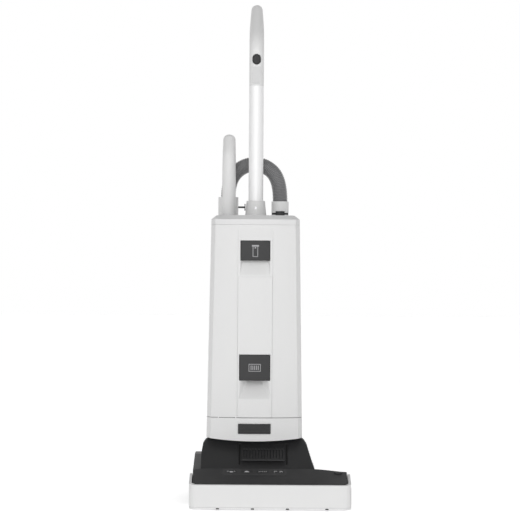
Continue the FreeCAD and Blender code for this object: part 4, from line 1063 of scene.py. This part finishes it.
def add_deck_marks():
    """Plain marks in the four display windows: blob, heap, dashes and brackets."""
    bm = bmesh.new()
    lift = 1.45
    middle_y = -121.5
    centres = [-90 + 36.5 * k for k in range(4)]
    add_patch(bm, oval(centres[0] + 1, middle_y - 1, 4.4, 1.9), lift)
    add_patch(bm, block(centres[0] - 9, centres[0] - 5, middle_y + 0.6, middle_y + 1.6), lift)
    add_patch(bm, block(centres[0] + 6.5, centres[0] + 10, middle_y + 0.6, middle_y + 1.6), lift)
    add_patch(bm, [(centres[1] - 6, middle_y - 1.8), (centres[1] + 6, middle_y - 1.8),
                   (centres[1] + 2, middle_y + 2.2), (centres[1] - 1.4, middle_y + 2.6)], lift)
    for k in range(5):
        x = centres[2] - 8 + 4 * k
        add_patch(bm, block(x - 1.1, x + 1.1, middle_y - 0.5, middle_y + 0.7), lift)
    x = centres[3]
    for shape in (block(x - 10, x - 9.2, middle_y - 2.6, middle_y + 2.6),
                  block(x - 10, x - 3, middle_y + 1.8, middle_y + 2.6),
                  block(x + 3, x + 4, middle_y - 2.4, middle_y + 0.8),
                  block(x + 8, x + 9, middle_y - 2.4, middle_y + 0.8),
                  block(x + 3, x + 9, middle_y + 1.2, middle_y + 2.1)):
        add_patch(bm, shape, lift)
    finish_mesh("display_marks", bm, MARK, sharp=40, body="head", slot="dark_plastic")


def add_bumper_trim():
    """The bead line along the foot of the bumper, and black plugs in its four drain gaps as painted
    shade.
    """
    half, corner, front = 185.0, 16.0, -175.0
    path = [Vector((half, -72)), Vector((half, front + corner))]
    path += [Vector((half - corner + corner * math.cos(a), front + corner - corner * math.sin(a)))
             for a in (math.pi / 2 * k / 10 for k in range(1, 11))]
    path += [Vector((-p.x, p.y)) for p in reversed(path)]
    bm = bmesh.new()
    rings = []
    for i, p in enumerate(path):
        along = (path[min(i + 1, len(path) - 1)] - path[max(i - 1, 0)]).normalized()
        out = Vector((-along.y, along.x))
        if out.dot(p - Vector((0, -100))) < 0:
            out = -out
        rings.append([mm(p.x + out.x * o, p.y + out.y * o, z) for o, z in
                      ((-0.6, 7.0), (0.12, 7.05), (0.12, 7.75), (-0.6, 7.8))])
    add_solid(bm, rings)
    finish_mesh("bumper_bead_line", bm, SEAM_GREY, sharp=40, body="head", slot="shell_light")
    # Painted shade: black solids that fill the four drain gaps flush with the bumper's front.
    bm = bmesh.new()
    for x in (-119.2, -39.8, 39.7, 129.5):
        add_solid(bm, [
            [mm(px, py, pz) for px, pz in
             ((x - 4, 2.85), (x + 4, 2.85), (x + 3.4, 5.2), (x + 2.6, 5.8), (x - 2.6, 5.8),
              (x - 3.4, 5.2))]
            for py in (front - 0.15, front + 5.5)
        ])
    finish_mesh("bumper_gap_shadows", bm, SHADE_BLACK, sharp=40, body="head", slot="dark_plastic")


MARK = material("display_mark", (0.60, 0.60, 0.61), 0.5, grain=0.2, variation=0.05)
SEAM_GREY = material("seam_grey", (0.50, 0.50, 0.50), 0.6, grain=0.2, variation=0.05)
add_head_cover()
add_deck_marks()
add_bumper_trim()


# ---------------------------------------------------------------- inside and running parts

BAG_LOW, BAG_HIGH = 240.0, 524.0
BAG_X, BAG_Y = -37.0, 38.0
BAG_HALF_X, BAG_HALF_Y = 74.0, 42.0
SETTLE_FRAMES = 16
CLOTH_REACH = 7 * MM
BRUSH_Y, BRUSH_Z = -136.0, 28.5
WHEEL_Y, WHEEL_Z = 135, 40


def bag_ring(level, count=112):
    """One level of the bag: a narrow neck, fullest round the middle, a welded edge each side."""
    swell = math.sin(math.pi * min(1.0, 0.12 + 0.80 * level)) ** 0.35
    neck = 1 - 0.42 * smooth_step((level - 0.78) / 0.22)
    foot = 0.55 + 0.45 * smooth_step(level / 0.10)
    half_x = (BAG_HALF_X - 9) * (0.93 + 0.07 * swell) * (0.72 + 0.28 * neck) * (0.9 + 0.1 * foot)
    half_y = (BAG_HALF_Y - 7) * swell * neck * foot
    points = []
    for a in full_turn(count):
        c, s = math.cos(a), math.sin(a)
        x = math.copysign(abs(c) ** 0.80, c) * half_x
        y = math.copysign(abs(s) ** 0.85, s) * half_y
        weld = math.exp(-(min(a, abs(a - math.pi), 2 * math.pi - a) / 0.09) ** 2)
        x += math.copysign(3.0, c) * weld
        fold = 1.3 * math.sin(7 * a + 5 * level) * math.sin(math.pi * level)
        points.append(mm(BAG_X + x, BAG_Y + y + fold, lerp(BAG_LOW, BAG_HIGH, level)))
    return points


def relax_bag(piece, rest):
    """Runs the fleece as cloth with a little air in it and returns where its points go."""
    top = max(p.z for p in rest)
    held = piece.vertex_groups.new(name="collar")
    held.add([i for i, p in enumerate(rest) if p.z > top - 9 * MM], 1.0, "REPLACE")
    cloth = piece.modifiers.new("cloth", "CLOTH")
    cloth.settings.quality = 6
    cloth.settings.mass = 0.08
    cloth.settings.tension_stiffness = 12
    cloth.settings.compression_stiffness = 12
    cloth.settings.bending_stiffness = 0.15
    cloth.settings.shrink_min = -0.05
    cloth.settings.use_pressure = True
    cloth.settings.uniform_pressure_force = 0.6
    cloth.settings.vertex_group_mass = "collar"
    cloth.collision_settings.use_collision = False
    cloth.point_cache.frame_start = 1
    cloth.point_cache.frame_end = SETTLE_FRAMES
    scene = bpy.context.scene
    for number in range(1, SETTLE_FRAMES + 1):
        scene.frame_set(number)
    settled = piece.evaluated_get(bpy.context.evaluated_depsgraph_get())
    places = [v.co.copy() for v in settled.data.vertices]
    piece.modifiers.remove(cloth)
    scene.frame_set(1)
    return places


def add_dust_bag():
    """A lofted fleece shell. Each point moves at most CLOTH_REACH towards where the cloth run
    takes it, which is less than most points move in that run, so this isn't a settled cloth."""
    bm = bmesh.new()
    rings = [bag_ring(k / 64) for k in range(65)]
    add_solid(bm, rings)
    piece = finish_mesh("dust_bag_fleece", bm, FLEECE, body="housing", node="dust_bag",
                        slot="bag_fleece")
    mesh = piece.data
    rest = [v.co.copy() for v in mesh.vertices]
    places = relax_bag(piece, rest)
    low = mm(BAG_X - BAG_HALF_X, BAG_Y - BAG_HALF_Y, BAG_LOW - 2)
    high = mm(BAG_X + BAG_HALF_X, BAG_Y + BAG_HALF_Y, BAG_HIGH + 2)
    for vertex, old, new in zip(mesh.vertices, rest, places):
        move = new - old
        if move.length > CLOTH_REACH:
            move = move.normalized() * CLOTH_REACH
        spot = old + move
        vertex.co = [min(max(spot[k], low[k]), high[k]) for k in range(3)]
    mesh.update()


add_dust_bag()


def add_brush_button():
    """The oval brush-release button, standing a little out of the deck."""
    bm = bmesh.new()
    x, y, wide, tall = 156.5, -116.0, 9.6, 4.9
    rings = []
    for grow, lift in ((0.0, -4.0), (0.0, 1.2), (-0.5, 1.9), (-1.3, 2.2), (-3.0, 2.1)):
        rings.append([deck_point(px, py, lift)
                      for px, py in oval(x, y, wide + grow, tall + grow * 0.9, steps=48)])
    add_solid(bm, rings)
    finish_mesh("brush_button_pad", bm, PANEL, body="brush_release", node="brush_button",
                slot="dark_plastic")


add_brush_button()


ROLLER = ((-177, 0), (-177, 14.2), (-176.3, 14.9), (-165.7, 14.9), (-165, 14.2), (-165, 3.9),
          (-154, 3.9), (-154, 14.6), (-152.8, 15.8), (145.8, 15.8), (147, 14.6), (147, 3.9),
          (161, 3.9), (161, 0))
turned("roller_core", "x", mm(0, BRUSH_Y, BRUSH_Z), [(x * MM, r * MM) for x, r in ROLLER],
       STEEL, closed=False, count=96, body="brush", node="brush_roller", slot="steel")


def add_bristle(bm, foot, tip, wide, sides=4):
    """One thick nylon bristle that narrows towards its tip."""
    along = (tip - foot).normalized()
    across = along.orthogonal().normalized()
    other = along.cross(across)
    rings = []
    for t, r in ((0.0, wide), (0.7, wide * 0.9), (1.0, wide * 0.55)):
        centre = foot.lerp(tip, t)
        rings.append([centre + (across * math.cos(a) + other * math.sin(a)) * r
                      for a in full_turn(sides)])
    add_solid(bm, rings)


def add_bristle_rows():
    """Two spiral rows of tufts let into the roller."""
    rng = random.Random(41)
    bm = bmesh.new()
    first, last, tufts, turns = -146.0, 139.0, 62, 1.5
    for row in range(2):
        for k in range(tufts):
            x = lerp(first, last, k / (tufts - 1))
            angle = math.pi * row + 2 * math.pi * turns * k / (tufts - 1)
            for _ in range(9):
                lean = rng.uniform(-0.10, 0.10)
                shift = rng.uniform(-1.1, 1.1)
                a = angle + rng.uniform(-0.05, 0.05)
                out = Vector((0, math.cos(a), math.sin(a)))
                bent = Vector((0, math.cos(a + lean), math.sin(a + lean)))
                base = Vector((x + shift, BRUSH_Y, BRUSH_Z)) + out * 15.0
                end = Vector((x + shift * 1.9, BRUSH_Y, BRUSH_Z)) + bent * rng.uniform(24.4, 25.5)
                add_bristle(bm, base * MM, end * MM, 0.42 * MM)
    finish_mesh("spiral_bristles", bm, BRISTLE, body="brush", node="brush_bristles",
                slot="bristle")


add_bristle_rows()


def add_wheel(side, low, high):
    """A rear wheel: a six-spoked hub and a grooved tyre."""
    centre = mm(0, WHEEL_Y, WHEEL_Z)
    outer = low if side == "left" else high
    inwards = 1 if side == "left" else -1
    bm = bmesh.new()
    rim = [(low, 28.5), (low, 32.2), (low + 0.8, 33), (high - 0.8, 33), (high, 32.2), (high, 28.5)]
    boss = [(low, 4.2), (low, 9.2), (low + 0.8, 10), (high - 0.8, 10), (high, 9.2), (high, 4.2)]
    middle = (low + high) / 2
    web = [(middle - 2, 9), (middle - 2, 29.5), (middle + 2, 29.5), (middle + 2, 9)]
    for profile in (rim, boss, web):
        add_turned(bm, "x", centre, [(x * MM, r * MM) for x, r in profile], 96, True)
    for a in full_turn(6):
        out, across = Vector((0, math.cos(a), math.sin(a))), Vector((0, -math.sin(a), math.cos(a)))
        rings = []
        for r, half in ((8.5, 3.4), (18, 2.6), (29.5, 3.4)):
            rings.append([centre + (out * r + across * half * s) * MM + Vector((x * MM, 0, 0))
                          for s, x in ((-1, outer + inwards * 1.6), (1, outer + inwards * 1.6),
                                       (1, middle), (-1, middle))])
        add_solid(bm, rings)
    finish_mesh("wheel_spokes_" + side, bm, DARK, bevel=0.5 * MM, body="wheel_" + side,
                node="wheel_hub_" + side, slot="dark_plastic")
    tread = [(low, 33.1), (low, 38.4), (low + 1.6, 40)]
    grooves = 4
    for k in range(grooves):
        at = lerp(low + 1.6, high - 1.6, (k + 1) / (grooves + 1))
        tread += [(at - 0.8, 40), (at - 0.5, 38.9), (at + 0.5, 38.9), (at + 0.8, 40)]
    tread += [(high - 1.6, 40), (high, 38.4), (high, 33.1)]
    turned("wheel_tread_" + side, "x", centre, [(x * MM, r * MM) for x, r in tread], TYRE,
           body="wheel_" + side, node="wheel_tyre_" + side, slot="tyre")


add_wheel("left", -175, -158)
add_wheel("right", 84, 101)


def add_bars(bm, bars):
    """Plain bars of a moulded frame, given as (low corner, high corner) in millimetres."""
    for low, high in bars:
        low, high = Vector(low) * MM, Vector(high) * MM
        base = [Vector((x, y, low.z)) for x, y in
                ((low.x, low.y), (high.x, low.y), (high.x, high.y), (low.x, high.y))]
        rings = [base, [p + Vector((0, 0, high.z - low.z)) for p in base]]
        add_solid(bm, rings)


def add_exhaust_filter():
    """A folded filter sheet in a moulded frame."""
    x0, x1, front, back, z0, z1, wall = -70.0, -4.0, -46.5, -19.0, 357.0, 521.0, 3.0
    bm = bmesh.new()
    folds, thick = 34, 0.9
    near, far = front + 2.5, back - 2.0
    ridge = []
    for k in range(folds + 1):
        x = lerp(x0 + wall, x1 - wall, k / folds)
        ridge.append((x, near if k % 2 else far - thick))
    outline = ridge + [(x, y + thick) for x, y in reversed(ridge)]
    low = [bm.verts.new(mm(x, y, z0 + wall)) for x, y in outline]
    top = [bm.verts.new(mm(x, y, z1 - wall)) for x, y in outline]
    count, last = len(outline), len(ridge) - 1
    for i in range(count):
        j = (i + 1) % count
        bm.faces.new((low[i], low[j], top[j], top[i]))
    for k in range(last):
        other = count - 1 - k
        bm.faces.new((low[k + 1], low[k], low[other], low[other - 1]))
        bm.faces.new((top[k], top[k + 1], top[other - 1], top[other]))
    finish_mesh("pleated_filter", bm, FILTER, body="door", node="exhaust_filter",
                slot="filter_media")
    bm = bmesh.new()
    add_bars(bm, (
        ((x0, front, z0), (x0 + wall, back, z1)), ((x1 - wall, front, z0), (x1, back, z1)),
        ((x0 + wall, front, z0), (x1 - wall, back, z0 + wall)),
        ((x0 + wall, front, z1 - wall), (x1 - wall, back, z1)),
    ))
    finish_mesh("filter_frame", bm, STRUCTURE, bevel=0.4 * MM, body="door",
                node="exhaust_filter", slot="structure_plastic")


add_exhaust_filter()


def add_slot_shadow_strips():
    """Painted shade: black strips that lie in the slots on both sides of the grille, filling them to
    just under the surface so the slots read dark.
    """
    bm = bmesh.new()
    for x in SLOTS:
        rings = []
        for y in spread(SLOT_FRONT + 0.3, SLOT_BACK - 0.3, 2.6):
            foot, top = hump_z(x, y) - 5.0, hump_z(x, y) - 0.9
            rings.append([mm(x - 1.85, y, foot), mm(x + 1.85, y, foot),
                          mm(x + 1.85, y, top), mm(x - 1.85, y, top)])
        add_solid(bm, rings)
    finish_mesh("slot_shadow_strips", bm, SHADE_BLACK, body="head", slot="rubber_black")


add_slot_shadow_strips()
